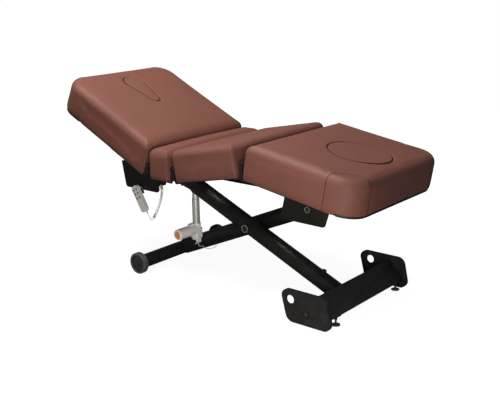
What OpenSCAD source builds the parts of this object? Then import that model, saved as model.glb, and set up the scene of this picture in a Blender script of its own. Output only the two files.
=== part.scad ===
// Massage table: four upholstered sections on a scissor base raised by a column drive.
// Lengths in millimetres, angles in degrees. +X runs to the foot end, +Y to the far side,
// Z 0 is the floor. Drawn as it stands: back raised, seat raised, leg section falling away.

/* [Sections] */
// width of the upholstery
table_w = 780; // [750:5:800]
// length of the back section
back_len = 728; // [700:5:755]
// length of the fixed lumbar section
lumbar_len = 138; // [130:1:146]
// length of the seat section
seat_len = 423; // [410:1:436]
// length of the leg section
leg_len = 642; // [630:2:656]
// thickness of the back section at its edges
back_t = 181; // [170:1:184]
// thickness of the lumbar section
lumbar_t = 165; // [155:1:170]
// thickness of the seat section
seat_t = 163; // [155:1:170]
// thickness of the leg section
leg_t = 178; // [170:1:182]
// rise of the padding from its edges to its middle
crown_h = 7; // [2:0.5:12]
// inward bow of each long side
side_draw = 3; // [0:0.5:5]
// plan radius of the head end and foot end corners
end_corner_r = 120; // [95:5:140]
// plan radius of every other cushion corner
corner_r = 18; // [13:1:26]
// radius of the padding's top edge on the back section
back_edge_r = 40; // [30:1:46]
// radius of the padding's top edge on the lumbar section
lumbar_edge_r = 44; // [30:1:50]
// radius of the padding's top edge on the seat section
seat_edge_r = 34; // [25:1:40]
// radius of the padding's top edge on the leg section
leg_edge_r = 42; // [30:1:48]
// tuck of the padding's bottom edge
tuck = 8; // [4:0.5:11]
// backward lean of the back section's lower face
back_lean = 15; // [8:1:20]
// thickness of the boards under the padding
board_t = 12; // [9:0.5:14]
// skirt of padding beside each board
skirt = 14; // [12.5:0.5:18]
// length along a long section from which its board runs flush
flush_from = 541; // [536:1:560]
// set-in of the flush boards from the outline
flush_set = 8; // [7:0.5:10]

/* [Openings in the padding] */
// distance from the back hinge to the wide end of the face plug
face_far = 586; // [570:1:596]
// distance from the back hinge to the narrow end of the face plug
face_near = 403; // [390:1:415]
// radius of the wide end of the face plug
face_big_r = 66; // [60:1:70]
// radius of the narrow end of the face plug
face_small_r = 32; // [30:1:38]
// distance from the knee hinge to the middle of the oval plug
oval_mid = 416; // [405:1:421]
// half length of the oval plug
oval_a = 164; // [150:1:170]
// half width of the oval plug
oval_b = 141; // [134:1:146]
// seam gap round each plug
plug_gap = 1.5; // [1:0.1:3]
// ledge on which each plug rests
plug_ledge = 12; // [8:1:15]

/* [Hinges] */
// gap between the back and lumbar sections
back_gap = 36; // [32:1:40]
// gap between the lumbar and seat sections
seat_gap = 40; // [36:1:44]
// gap between the seat and leg sections
knee_gap = 50; // [46:1:54]
// raise of the back section above level
back_angle = 25.5; // [0:0.5:40]
// raise of the seat section above level
seat_angle = 11.3; // [0:0.1:20]
// height of the hinge line above the deck
hinge_rise = 62; // [60:0.5:64]
// extra height of the hinge line above the back board
back_drop = 1; // [0:0.5:2]
// extra height of the hinge line above the leg board
leg_drop = 3; // [2:0.5:4]
// radius of the hinge pins
pin_r = 5; // [4:0.5:6]
// thickness of the hinge plates
ear_t = 6; // [5:0.5:6.5]
// thickness of the straps under the boards
strap_t = 5; // [4:0.5:6]
// width of the straps
strap_w = 30; // [24:1:34]
// reach of the straps under the long sections
strap_l = 220; // [180:10:240]

/* [Scissor base] */
// slope of the scissor arms
lift_angle = 23.3; // [18.3:0.1:32.3]
// arm length from the lower axle to the crossing
arm_low = 635; // [625:1:645]
// arm length from the crossing to the upper axle
arm_up = 463.5; // [458:0.5:469]
// outer radius of the arm tubes
arm_r = 45; // [42:0.5:47]
// wall of the tubes
tube_wall = 4; // [3:0.5:5]
// gap between the two arms
arm_gap = 10; // [8:0.5:12]
// radius of the wheels
wheel_r = 60; // [56:1:62]
// width of the wheels
wheel_w = 32; // [28:1:34]
// outer face of the wheels from the middle of the table
wheel_face = 343.7; // [335:1:350]
// depth of the tyre
tyre_t = 12; // [9:0.5:14]
// outer radius of the floor cross tube
cross_r = 38; // [34:0.5:40]
// radius of the foot axle
foot_axle_r = 15; // [12:0.5:17]
// radius of the crossing bolt
pivot_r = 14; // [12:0.5:16]
// radius of the upper cross axle that carries the rollers
top_r = 8; // [7:0.5:9]
// radius of the upper fixed axle
fixed_r = 12; // [10:0.5:14]
// radius of the track rollers
roller_r = 10.6; // [9.6:0.1:11.6]

/* [Foot] */
// distance of the foot plates' outer faces from the middle
foot_face = 360; // [350:1:370]
// depth of the foot plates' folded edges
foot_edge = 20; // [16:1:24]
// sheet thickness of the foot plates
foot_wall = 4; // [3:0.5:5]
// radius of the round cut-outs in the foot plates
foot_hole_r = 21; // [16:0.5:24]
// thickness of the sloping beam
beam_t = 5; // [4:0.5:6]
// radius of the levelling pads
pad_r = 22; // [18:1:24]
// radius of the levelling stems
stem_r = 5; // [4:0.5:6]

/* [Column drive] */
// outer radius of the fixed column
column_r = 21.5; // [20.5:0.5:22.5]
// outer radius of the moving tube
rod_r = 19; // [18:0.25:19.25]
// radius of the lead screw
screw_r = 6.5; // [5.5:0.5:7]
// radius of the motor cover
motor_r = 30; // [27:0.5:32]
// length of the motor cover
motor_l = 131; // [120:1:140]
// radius of the coloured disc on the motor
disc_r = 21; // [16:0.5:24]

/* [Frame] */
// height of the deck above the upper axles
frame_rise = 88; // [86:0.5:90]
// gap between the deck line and the rails
rail_drop = 7; // [6:0.5:8]
// height of the rails
rail_h = 28; // [27:0.5:30]
// width of the rails
rail_w = 30; // [26:1:33]
// inner faces of the rails from the middle
rail_in = 51; // [49:0.5:53]
// wall of the rails
rail_wall = 3; // [2.5:0.25:3]
// reach of the rails past the back hinge
rail_head = 485; // [470:5:500]
// reach of the rails past the knee hinge
rail_foot = 586; // [570:2:600]
// outer faces of the gusset plates from the middle
gusset_face = 125; // [122:0.5:128]
// thickness of the gusset plates
gusset_t = 6; // [5:0.5:7]

/* [Handset] */
// width of the handset
hand_w = 50; // [46:1:54]
// length of the handset
hand_l = 163; // [158:1:168]
// thickness of the handset
hand_t = 22; // [19:0.5:24]
// lean of the hanging handset
hand_lean = 31.1; // [25:0.5:35]
// length of a key
key_l = 12; // [9:0.5:14]
// width of a key
key_w = 7.5; // [5:0.25:8]
// height of a key above the face
key_up = 1; // [0.8:0.1:1.4]
// outer radius of the curly cord
curl_r = 9; // [7.5:0.25:9.5]
// radius of the cord itself
cord_r = 1.8; // [1.5:0.1:2]

/* [Hidden] */
$fn = 48;
over = 1;           // overrun of every cut
fit = 0.05;         // radial clearance of a running fit
seat = 0.3;         // gap between pieces that rest on each other
part = 0.6;         // gap between pieces that pass each other

// Helpers.
module yrod(r, y0, y1) translate([0, y1, 0]) rotate([90, 0, 0]) cylinder(r = r, h = y1 - y0);
module at(p) translate([p[0], 0, p[1]]) children();
module box(x0, x1, y0, y1, z0, z1) translate([x0, y0, z0]) cube([x1 - x0, y1 - y0, z1 - z0]);
module plate(pts, y0, y1) translate([0, y1, 0]) rotate([90, 0, 0]) linear_extrude(y1 - y0)
  polygon(pts);
module both() { children(); mirror([0, 1, 0]) children(); }
module pill(l, w) { square([l - w, w], center = true);
  for (s = [-1, 1]) translate([s * (l - w) / 2, 0]) circle(d = w); }
module rrect(w, h, r) { square([w - 2 * r, h], center = true); square([w, h - 2 * r], center = true);
  for (i = [-1, 1], j = [-1, 1]) translate([i * (w / 2 - r), j * (h / 2 - r)]) circle(r = r); }
function unit(v) = v / norm(v);
function turn(v, a) = [v[0] * cos(a) + v[1] * sin(a), v[1] * cos(a) - v[0] * sin(a)];
function wrap(p, i) = p[(i + len(p)) % len(p)];
function corner(a, b, c, r, n) = let(u = unit(a - b), v = unit(c - b), h = acos(u * v) / 2,
  o = b + unit(u + v) * r / sin(h), p = b + u * r / tan(h) - o, q = b + v * r / tan(h) - o,
  s = atan2(p[1], p[0]), d = (atan2(q[1], q[0]) - s + 540) % 360 - 180)
  [for (k = [0:n]) o + r * [cos(s + d * k / n), sin(s + d * k / n)]];
function rounded(p, r, n = 8) = [for (i = [0:len(p) - 1])
  each corner(wrap(p, i - 1), p[i], wrap(p, i + 1), r[i], n)];
function inset(p, d) = [for (i = [0:len(p) - 1]) let(u = unit(p[i] - wrap(p, i - 1)),
  v = unit(wrap(p, i + 1) - p[i]), m = [-u[1], u[0]], n = [-v[1], v[0]])
  p[i] + (m + n) * d / (1 + m * n)];
// a plate that runs from a pin's round end to two points on what carries it
lug_share = 0.95;
module lug(p, r, q0, q1, y0, y1) { m = unit([-(q0 + q1 - 2 * p)[1], (q0 + q1 - 2 * p)[0]]);
  n = m * sign((q1 - q0) * m);
  plate([p + lug_share * r * n, q1, q0, p - lug_share * r * n], y0, y1); at(p) yrod(r, y0, y1); }
// a closed skin over rings of points, each ring the same length
module skin(rings, tip0, tip1) { n = len(rings[0]); m = len(rings);
  polyhedron(points = [for (r = rings) each r, tip0, tip1], faces = [
    for (j = [0:m - 2], i = [0:n - 1]) let(a = j * n + i, b = j * n + (i + 1) % n)
      each [[a, a + n, b + n], [a, b + n, b]],
    for (i = [0:n - 1]) [m * n, i, (i + 1) % n],
    for (i = [0:n - 1]) [m * n + 1, (m - 1) * n + (i + 1) % n, (m - 1) * n + i]]); }
function middle(r) = [for (k = [0:2]) (min([for (p = r) p[k]]) + max([for (p = r) p[k]])) / 2];

// Places that follow from the sizes.
arm_y = arm_r + arm_gap / 2;
foot_x = 524;
axle_low = [foot_x, wheel_r];
pivot = axle_low + arm_low * [-cos(lift_angle), sin(lift_angle)];
wheel_at = pivot - arm_low * [cos(lift_angle), sin(lift_angle)];
axle_roll = pivot + arm_up * [-cos(lift_angle), sin(lift_angle)];
axle_fix = pivot + arm_up * [cos(lift_angle), sin(lift_angle)];
deck_z = axle_fix[1] + frame_rise;
hinge_z = deck_z + hinge_rise;
hinge_run = 851.4;          // back hinge to the fixed upper axle
back_x = axle_fix[0] - hinge_run;
seat_x = back_x + back_gap / 2 + lumbar_len + seat_gap / 2;
knee_run = seat_gap / 2 + seat_len + knee_gap / 2;
knee_x = seat_x + knee_run;
back_u0 = 10;               // lower face of the back padding from its hinge, at its bottom
back_u1 = back_gap / 2 + back_len;
seat_u0 = seat_gap / 2;
seat_u1 = seat_u0 + seat_len;
leg_u0 = knee_gap / 2;
leg_u1 = leg_u0 + leg_len;
back_zb = -hinge_rise - back_drop;
seat_zb = -hinge_rise;
leg_zb = -hinge_rise - leg_drop;
lumbar_x = back_x + back_gap / 2 + lumbar_len / 2;

// rails and the leg section's sliders
rail_top = deck_z - rail_drop;
rail_bot = rail_top - rail_h;
rail_out = rail_in + rail_w;
slot_h = rail_h - 2 * rail_wall;
shoe_run = 568;             // sliders from the knee hinge
shoe_play = 1;              // play of a slider in its rail
shoe_drop = hinge_z - (rail_bot + rail_h / 2);
shoe_r = slot_h / 2 - shoe_play;
// the sliders stay in the rails, so the seat's raise sets the leg section's fall
leg_tilt = asin((knee_run * sin(seat_angle) + shoe_drop) / norm([shoe_run, shoe_drop]))
  - atan(shoe_drop / shoe_run);

module back_frame() translate([back_x, 0, hinge_z]) rotate([0, back_angle, 0])
  mirror([1, 0, 0]) children();
module seat_frame() translate([seat_x, 0, hinge_z]) rotate([0, -seat_angle, 0]) children();
module leg_frame() seat_frame() translate([knee_run, 0, 0])
  rotate([0, seat_angle + leg_tilt, 0]) children();
module arm_a_frame() translate([axle_low[0], -arm_y, axle_low[1]])
  rotate([0, lift_angle, 0]) mirror([1, 0, 0]) children();
module arm_b_frame() translate([pivot[0], arm_y, pivot[1]]) rotate([0, -lift_angle, 0]) children();

// Padding.
corner_steps = 4;
side_steps = 4;
end_steps = 3;
least_r = 4;                // smallest plan radius of an inner ring
function arc(c, r, a) = [for (k = [0:corner_steps]) c + r * [cos(a + 90 * k / corner_steps),
  sin(a + 90 * k / corner_steps)]];
function run(p, q, n, d) = let(w = unit([-(q - p)[1], (q - p)[0]]))
  [for (k = [1:n]) let(t = k / (n + 1)) p + (q - p) * t + w * d * sin(180 * t)];
// one level of a cushion between u0 and u1, set in by i, with corners ra and rb
function level(u0, u1, i, ra, rb, z, w, draw) = let(a = max(ra - i, least_r),
  b = max(rb - i, least_r), y = w / 2 - i)
  [for (p = concat(arc([u1 - b, y - b], b, 0), run([u1 - b, y], [u0 + a, y], side_steps, draw),
    arc([u0 + a, y - a], a, 90), run([u0, y - a], [u0, a - y], end_steps, 0),
    arc([u0 + a, a - y], a, 180), run([u0 + a, -y], [u1 - b, -y], side_steps, draw),
    arc([u1 - b, b - y], b, 270), run([u1, b - y], [u1, y - b], end_steps, 0)))
    [p[0], p[1], z]];
side_shares = [[0, 1], [0.06, 0.5], [0.2, 0.15], [0.55, 0]];
edge_steps = 4;
crown_shares = [0.3, 0.6, 0.9];
// all levels of a cushion; lean moves the hinge face back with height, soft widens its edge
function cushion_rings(u0, u1, zb, t, re, ra, rb, lean, soft) = let(
  half = min(u1 - u0 - lean, table_w) / 2 - re * soft,
  rows = concat(
    [for (s = side_shares) [s[0] * (t - re), s[1] * tuck, s[1] * tuck]],
    [for (k = [0:edge_steps]) let(a = 90 * k / edge_steps)
      [t - re + re * sin(a), re * (1 - cos(a)), re * soft * (1 - cos(a))]],
    [for (c = crown_shares) [t + crown_h * (1 - pow(1 - c, 2)), re + c * half, re * soft + c * half]]))
  [for (r = rows) level(u0 + lean * min(r[0] / t, 1) + r[2], u1 - r[1], r[1], ra, rb, zb + r[0],
    table_w, side_draw * min(r[0] / (t - re), 1))];
module cushion(rings) skin(rings, middle(rings[0]), middle(rings[len(rings) - 1]));
back_soft = 1.4;            // the lower edge of the back padding is rounder by this share
back_rings = cushion_rings(back_u0, back_u1, back_zb, back_t, back_edge_r, corner_r, end_corner_r,
  back_lean, back_soft);
lumbar_rings = cushion_rings(-lumbar_len / 2, lumbar_len / 2, 0, lumbar_t, lumbar_edge_r,
  corner_r, corner_r, 0, 1);
seat_rings = cushion_rings(seat_u0, seat_u1, seat_zb, seat_t, seat_edge_r, corner_r, corner_r, 0, 1);
leg_rings = cushion_rings(leg_u0, leg_u1, leg_zb, leg_t, leg_edge_r, corner_r, end_corner_r, 0, 1);

// a board's outline: inside the skirt, and flush from a distance on when f is given
module board_area(u0, u1, rb, f, grow) {
  end = f > 0 ? f + skirt + corner_r : u1;
  translate([(u0 + end) / 2, 0])
    rrect(end - u0 - 2 * skirt + 2 * grow, table_w - 2 * skirt + 2 * grow, corner_r / 2);
  if (f > 0) intersection() {
    translate([f - grow, -table_w]) square([u1, 2 * table_w]);
    translate([(u0 + u1) / 2, 0]) rrect(u1 - u0 - 2 * flush_set + 2 * (grow > 0 ? tuck : 0),
      table_w - 2 * flush_set + 2 * (grow > 0 ? tuck : 0), rb - flush_set);
  }
}
module board(u0, u1, zb, rb, f) translate([0, 0, zb]) linear_extrude(board_t)
  board_area(u0, u1, rb, f, 0);
module pocket(u0, u1, zb, rb, f) translate([0, 0, zb - over])
  linear_extrude(board_t + seat + over) board_area(u0, u1, rb, f, seat);

// outlines of the two plugs, set in by i
big_steps = 18;
small_steps = 7;
function tear(i) = let(b = acos((face_big_r - face_small_r) / (face_far - face_near)))
  concat([for (k = [0:big_steps]) let(a = b - 180 + (360 - 2 * b) * k / big_steps)
      [face_far, 0] + (face_big_r - i) * [cos(a), sin(a)]],
    [for (k = [0:small_steps]) let(a = 180 - b + 2 * b * k / small_steps)
      [face_near, 0] + (face_small_r - i) * [cos(a), sin(a)]]);
oval_steps = 32;
function oval(i) = [for (k = [0:oval_steps - 1]) let(a = 360 * k / oval_steps)
  [oval_mid + (oval_a - i) * cos(a), (oval_b - i) * sin(a)]];
function lift3(p, z) = [for (q = p) [q[0], q[1], z]];
plug_edge = 7;              // rounding of a plug's top edge
plug_shares = [[1, 0], [0.3, 0.25], [0.05, 0.7]];
plug_crown_shares = [0.4, 0.85];
// levels of a plug: foot inside the board, ledge, side, rounded edge, crown
function plug_rows(zb, t, least) = concat(
  [[zb, plug_ledge + part], [zb + board_t + seat, plug_ledge + part],
   [zb + board_t + seat, plug_gap]],
  [for (s = plug_shares) [zb + t + crown_h - plug_edge * s[0], plug_gap + plug_edge * s[1]]],
  [for (c = plug_crown_shares) [zb + t + crown_h, plug_gap + plug_edge + c * least]]);
face_rings = [for (r = plug_rows(back_zb, back_t, face_small_r - plug_gap - plug_edge))
  lift3(tear(r[1]), r[0])];
oval_rings = [for (r = plug_rows(leg_zb, leg_t, oval_b - plug_gap - plug_edge))
  lift3(oval(r[1]), r[0])];

// the whole table is moved so that it stands on the middle of its box
function back_put(p) = back_x + turn([-p[0], p[2]], back_angle)[0];
function leg_put(p) = let(k = turn([knee_run, 0], -seat_angle)[0])
  seat_x + k + turn([p[0], p[2]], leg_tilt)[0];
x_low = min(back_put([back_u1 - flush_set, 0, back_zb]),
  min([for (r = back_rings) each [for (p = r) back_put(p)]]));
x_high = max([for (r = leg_rings) each [for (p = r) leg_put(p)]]);
module home() translate([-(x_low + x_high) / 2, 0, 0]) children();

module upholstery() color([0.49, 0.3, 0.26]) home() children();
module wood_black() color([0.1, 0.1, 0.1]) home() children();
module coat() color([0.15, 0.15, 0.15]) home() children();
module steel() color([0.75, 0.75, 0.76]) home() children();
module pale() color([0.8, 0.78, 0.75]) home() children();
module rubber() color([0.45, 0.45, 0.45]) home() children();

module back_cushion() upholstery() back_frame() difference() {
  cushion(back_rings);
  pocket(back_u0 + back_lean / 2, back_u1, back_zb, end_corner_r, flush_from + back_gap / 2);
  translate([0, 0, back_zb - over]) linear_extrude(back_t + crown_h + 2 * over) polygon(tear(0));
}
module back_board() wood_black() back_frame() difference() {
  board(back_u0 + back_lean / 2, back_u1, back_zb, end_corner_r, flush_from + back_gap / 2);
  translate([0, 0, back_zb - over]) linear_extrude(board_t + 2 * over) polygon(tear(plug_ledge));
}
module face_plug() upholstery() back_frame() cushion(face_rings);
module lumbar_cushion() upholstery() translate([lumbar_x, 0, deck_z]) difference() {
  cushion(lumbar_rings);
  pocket(-lumbar_len / 2, lumbar_len / 2, 0, corner_r, 0);
}
module lumbar_board() wood_black() {
  translate([lumbar_x, 0, deck_z]) board(-lumbar_len / 2, lumbar_len / 2, 0, corner_r, 0);
  both() box(lumbar_x - lumbar_len / 3, lumbar_x + lumbar_len / 3, rail_in, rail_out, rail_top,
    deck_z);
}
module seat_cushion() upholstery() seat_frame() difference() {
  cushion(seat_rings);
  pocket(seat_u0, seat_u1, seat_zb, corner_r, 0);
}
module seat_board() wood_black() seat_frame() board(seat_u0, seat_u1, seat_zb, corner_r, 0);
module leg_cushion() upholstery() leg_frame() difference() {
  cushion(leg_rings);
  pocket(leg_u0, leg_u1, leg_zb, end_corner_r, flush_from + leg_u0);
  translate([0, 0, leg_zb - over]) linear_extrude(leg_t + crown_h + 2 * over) polygon(oval(0));
}
module leg_board() wood_black() leg_frame() difference() {
  board(leg_u0, leg_u1, leg_zb, end_corner_r, flush_from + leg_u0);
  translate([0, 0, leg_zb - over]) linear_extrude(board_t + 2 * over) polygon(oval(plug_ledge));
}
module leg_plug() upholstery() leg_frame() cushion(oval_rings);

// Hinges.
pass_by = 2;                // gap between ears that turn past each other
ear_out = table_w / 2 - skirt;              // outer face of the moving ears
ear_in = ear_out - ear_t - pass_by;         // outer face of the carrying ears
ear_r = 12;                 // round end of an ear
web_h = 10;                 // height of the bar that leaves a strap
arm_from = 60;              // distance from the pin at which a strap is full width
post_w = 8;                 // width of an ear's foot along the strap
// an ear at the origin whose strap runs out along +X at height z, ending at l; g is where the
// padding begins
module ear(y, z, l, w, g) {
  difference() {
    union() {
      yrod(ear_r, y - ear_t, y);
      plate([[-lug_share * ear_r, 0], [g - part - post_w, z - web_h], [arm_from + over, z - web_h],
        [arm_from + over, z], [g - part, z], [lug_share * ear_r, 0]], y - ear_t, y);
      if (l > arm_from) box(arm_from, l, y - w, y, z - strap_t, z);
    }
    yrod(pin_r + fit, y - ear_t - over, y + over);
  }
}
drive_w = 32;               // width of the two small drives
lug_gap = 0.8;
lug_in = drive_w / 2 + lug_gap;
lug_t = 6;
drive_pin_r = 6;
lug_r = 12;
back_lever = [217, -83];    // drive pin from the back hinge, outward and up
seat_lever = [60, -100];    // drive pin from the seat hinge
lever_half = 40;            // half length of a lever's foot plate
module lever(p, z) {
  both() difference() {
    lug(p, lug_r, [p[0] - lever_half / 2, z], [p[0] + lever_half / 2, z], lug_in, lug_in + lug_t);
    at(p) yrod(drive_pin_r + fit, lug_in - over, lug_in + lug_t + over);
  }
  both() box(p[0] - lever_half, p[0] + lever_half, lug_in, lever_half, z - strap_t, z);
  at(p) yrod(drive_pin_r, -lug_in - lug_t, lug_in + lug_t);
}
module back_hinges() coat() back_frame() {
  both() ear(ear_out, back_zb, arm_from + strap_l, strap_w, ear_r + part);
  lever(back_lever, back_zb);
}
module seat_hinges() coat() seat_frame() {
  both() {
    ear(ear_out, seat_zb, knee_run / 2, strap_w, seat_gap / 2);
    translate([knee_run, 0, 0]) mirror([1, 0, 0]) ear(ear_in, seat_zb, knee_run / 2 + over,
      strap_w - ear_t - pass_by, knee_gap / 2);
  }
  lever(seat_lever, seat_zb);
}
shoe_gap = 2;               // gap between a slider and its rail's web
shoe_reach = 5;             // gap between a rail and the ear that carries its slider
pin_over = 5;               // a pin's end past what it runs through
shoe_in = rail_in + rail_wall + shoe_gap;   // inner face of a slider
shoe_out = rail_out - shoe_gap / 2;
shoe_ear = rail_out + shoe_reach;           // inner face of a slider's ear
module leg_hinges() coat() leg_frame() both() {
  ear(ear_out, leg_zb, arm_from + strap_l, strap_w, knee_gap / 2);
  difference() {
    union() {
      lug([shoe_run, -shoe_drop], ear_r, [shoe_run - lever_half, leg_zb],
        [shoe_run + lever_half, leg_zb], shoe_ear, shoe_ear + ear_t);
      box(shoe_run - lever_half, shoe_run + lever_half, shoe_ear - shoe_gap, shoe_ear + lever_half,
        leg_zb - strap_t, leg_zb);
    }
    at([shoe_run, -shoe_drop]) yrod(pin_r + fit, shoe_ear - over, shoe_ear + ear_t + over);
  }
  at([shoe_run, -shoe_drop]) {
    yrod(shoe_r, shoe_in, shoe_out);
    yrod(pin_r, shoe_out - over, shoe_ear + ear_t + shoe_gap);
  }
}
pin_in = ear_in - ear_t - pin_over;
pin_out = ear_out + pin_over;
module pins() { yrod(pin_r, pin_in, pin_out); }
module hinge_pins() steel() both() for (x = [back_x, seat_x]) at([x, hinge_z]) pins();
module knee_pins() steel() seat_frame() translate([knee_run, 0, 0]) both() pins();
// carrying ears under the lumbar board, one post into each gap
module hinge_ears() coat() both() translate([0, 0, hinge_z]) {
  half = (seat_x - back_x) / 2;
  translate([back_x, 0, 0]) ear(ear_in, -hinge_rise, half, strap_w, back_gap / 2);
  translate([seat_x, 0, 0]) mirror([1, 0, 0]) ear(ear_in, -hinge_rise, half + over, strap_w,
    seat_gap / 2);
}

// Scissor base.
hub_r = 42;                 // radius of the hub at the foot axle
bush_r = 26;                // radius of the bush at the crossing
top_hub_r = 34;             // radius of the hub at the fixed upper axle
hub_face = 1;               // how far that hub stands out from the tube's sides
arm_l = arm_low + arm_up;
fork_back = 40;             // the foot arm's tube ends this far before its upper axle
fork_t = 6;
fork_y = 39.5;              // inner faces of the fork from the arm's middle
fork_up = 24;               // the fork's root above and below the arm's middle
fork_down = 18;
fork_r = 24;
module hollow(r, l) difference() { rotate([0, 90, 0]) cylinder(r = r, h = l);
  translate([-over, 0, 0]) rotate([0, 90, 0]) cylinder(r = r - tube_wall, h = l + 2 * over); }
module arm_a_tube() coat() arm_a_frame() difference() {
  union() {
    arm_a_stops();
    difference() {
      translate([hub_r / 2, 0, 0]) hollow(arm_r, arm_l - fork_back - hub_r / 2);
      yrod(hub_r, -arm_r, arm_r);
    }
    yrod(hub_r, -arm_r, arm_r);
    translate([arm_low, 0, 0]) yrod(bush_r, -arm_r, arm_r);
    translate([arm_l - fork_back - tube_wall, 0, 0]) rotate([0, 90, 0])
      cylinder(r = arm_r, h = tube_wall);
    for (s = [-1, 1]) translate([0, s * (fork_y + fork_t / 2), 0])
      lug([arm_l, 0], fork_r, [arm_l - fork_back - tube_wall, fork_up],
        [arm_l - fork_back - tube_wall, -fork_down], -fork_t / 2, fork_t / 2);
  }
  yrod(foot_axle_r + fit, -arm_r - over, arm_r + over);
  translate([arm_low, 0, 0]) yrod(pivot_r + fit, -arm_r - over, arm_r + over);
  translate([arm_l, 0, 0]) yrod(top_r + fit, -arm_r - over, arm_r + over);
}
head_t = 8;
head_r = 24;
module pivot_bolt() steel() at(pivot) {
  yrod(pivot_r, -2 * arm_y + arm_gap / 2, 2 * arm_y - arm_gap / 2);
  yrod(head_r, -2 * arm_y + arm_gap / 2 - head_t, -2 * arm_y + arm_gap / 2 - seat);
  yrod(head_r, 2 * arm_y - arm_gap / 2 + seat, 2 * arm_y - arm_gap / 2 + head_t);
  yrod(bush_r, seat - arm_gap / 2, arm_gap / 2 - seat);
}
roll_out = gusset_face;     // ends of the rolling axle
roll_w = 20;
washer_r = 12;
washer_t = 6;
module top_cross_axle() steel() at(axle_roll) {
  yrod(top_r, -roll_out, roll_out);
  both() yrod(washer_r, roll_out - roll_w - washer_t - seat, roll_out - roll_w - seat);
}
module roller() difference() { yrod(roller_r, roll_out - roll_w, roll_out);
  yrod(top_r + fit, roll_out - roll_w - over, roll_out + over); }
module roller_near() rubber() at(axle_roll) mirror([0, 1, 0]) roller();
module roller_far() rubber() at(axle_roll) roller();
// a buffer on top of the foot arm and a ring on its near flank
buffer_at = 142;
ring_at = 161;
ring_lift = 38;             // degrees up the near flank
module arm_a_stops() {
  translate([buffer_at, 0, arm_r - over]) cylinder(r = washer_r, h = washer_r + over);
  translate([ring_at, 0, 0]) rotate([90 - ring_lift, 0, 0]) translate([0, 0, arm_r - over])
    difference() { cylinder(r = washer_r, h = tube_wall + over);
      translate([0, 0, over + tube_wall / 2]) cylinder(r = pin_r, h = tube_wall); }
}
stub_short = 4.8;           // the drive's stub from the rolling axle's distance along the arm
stub_up = 11.1;             // and above the arm's middle line
stub_r = 8;
drive_y = -21;              // middle plane of the column drive
clevis_half = 19;
stub_at = [-arm_up + stub_short, stub_up];
stub_low = pivot + turn(stub_at, -lift_angle);
module arm_b_tube() coat() arm_b_frame() difference() {
  union() {
    difference() {
      translate([-arm_low, 0, 0]) hollow(arm_r, arm_l - top_hub_r / 2);
      translate([-arm_low, 0, 0]) yrod(cross_r, -arm_r - over, arm_r + over);
      translate([arm_up, 0, 0]) yrod(top_hub_r, -arm_r - hub_face, arm_r + hub_face);
    }
    translate([arm_up, 0, 0]) yrod(top_hub_r, -arm_r - hub_face, arm_r + hub_face);
    yrod(bush_r, -arm_r, arm_r);
    at(stub_at) {
      yrod(stub_r, drive_y - arm_y - clevis_half - washer_t, tube_wall / 2 - arm_r);
      yrod(washer_r, drive_y - arm_y - clevis_half - washer_t, drive_y - arm_y - clevis_half - seat);
      yrod(washer_r, drive_y - arm_y + clevis_half + seat, tube_wall / 2 - arm_r);
    }
  }
  yrod(pivot_r + fit, -arm_r - over, arm_r + over);
  translate([arm_up, 0, 0]) yrod(fixed_r + fit, -arm_r - hub_face - over, arm_r + hub_face + over);
}
wheel_in = wheel_face - wheel_w;            // inner face of a wheel
cross_gap = 6;              // gap between the floor cross tube and a wheel
cross_end = wheel_in - cross_gap;           // ends of the floor cross tube
plug_t = 12;                // thickness of the end plugs of the cross tube
bolt_r = 8;
bolt_head_r = 11;
bolt_head_t = 4;
hub_set = 2;                // set-in of a wheel's hub from the tyre's faces; the disc lies twice as deep
hub_wall = 6;
module wheel_cross_tube() coat() at(wheel_at) {
  difference() { yrod(cross_r, -cross_end, cross_end);
    yrod(cross_r - tube_wall, -cross_end - over, cross_end + over); }
  both() difference() { yrod(cross_r - tube_wall, cross_end - plug_t, cross_end);
    yrod(bolt_r, cross_end - plug_t - over, cross_end + over); }
}
module wheel_bolts() steel() at(wheel_at) both() {
  yrod(bolt_r, cross_end - plug_t, wheel_face);
  yrod(bolt_head_r, wheel_face - hub_set + seat, wheel_face + bolt_head_t);
  yrod(bolt_head_r, cross_end, wheel_in + hub_set - seat);
}
module wheel() difference() {
  union() {
    yrod(wheel_r - tyre_t, wheel_in + 2 * hub_set, wheel_face - 2 * hub_set - over);
    yrod(bolt_head_r + hub_wall, wheel_in + hub_set, wheel_face - hub_set);
  }
  yrod(bolt_r + fit, wheel_in - over, wheel_face + over);
}
tread = 5;                  // rounding of the tyre's edges
module tyre() translate([0, wheel_face - wheel_w / 2, 0]) rotate([90, 0, 0]) rotate_extrude()
  polygon(concat([[wheel_r - tyre_t, -wheel_w / 2]],
    corner([wheel_r - tyre_t, -wheel_w / 2], [wheel_r, -wheel_w / 2], [wheel_r, wheel_w / 2], tread, 4),
    corner([wheel_r, -wheel_w / 2], [wheel_r, wheel_w / 2], [wheel_r - tyre_t, wheel_w / 2], tread, 4),
    [[wheel_r - tyre_t, wheel_w / 2]]));
module wheel_near() coat() at(wheel_at) mirror([0, 1, 0]) wheel();
module wheel_far() coat() at(wheel_at) wheel();
module tyre_near() rubber() at(wheel_at) mirror([0, 1, 0]) tyre();
module tyre_far() rubber() at(wheel_at) tyre();

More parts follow.
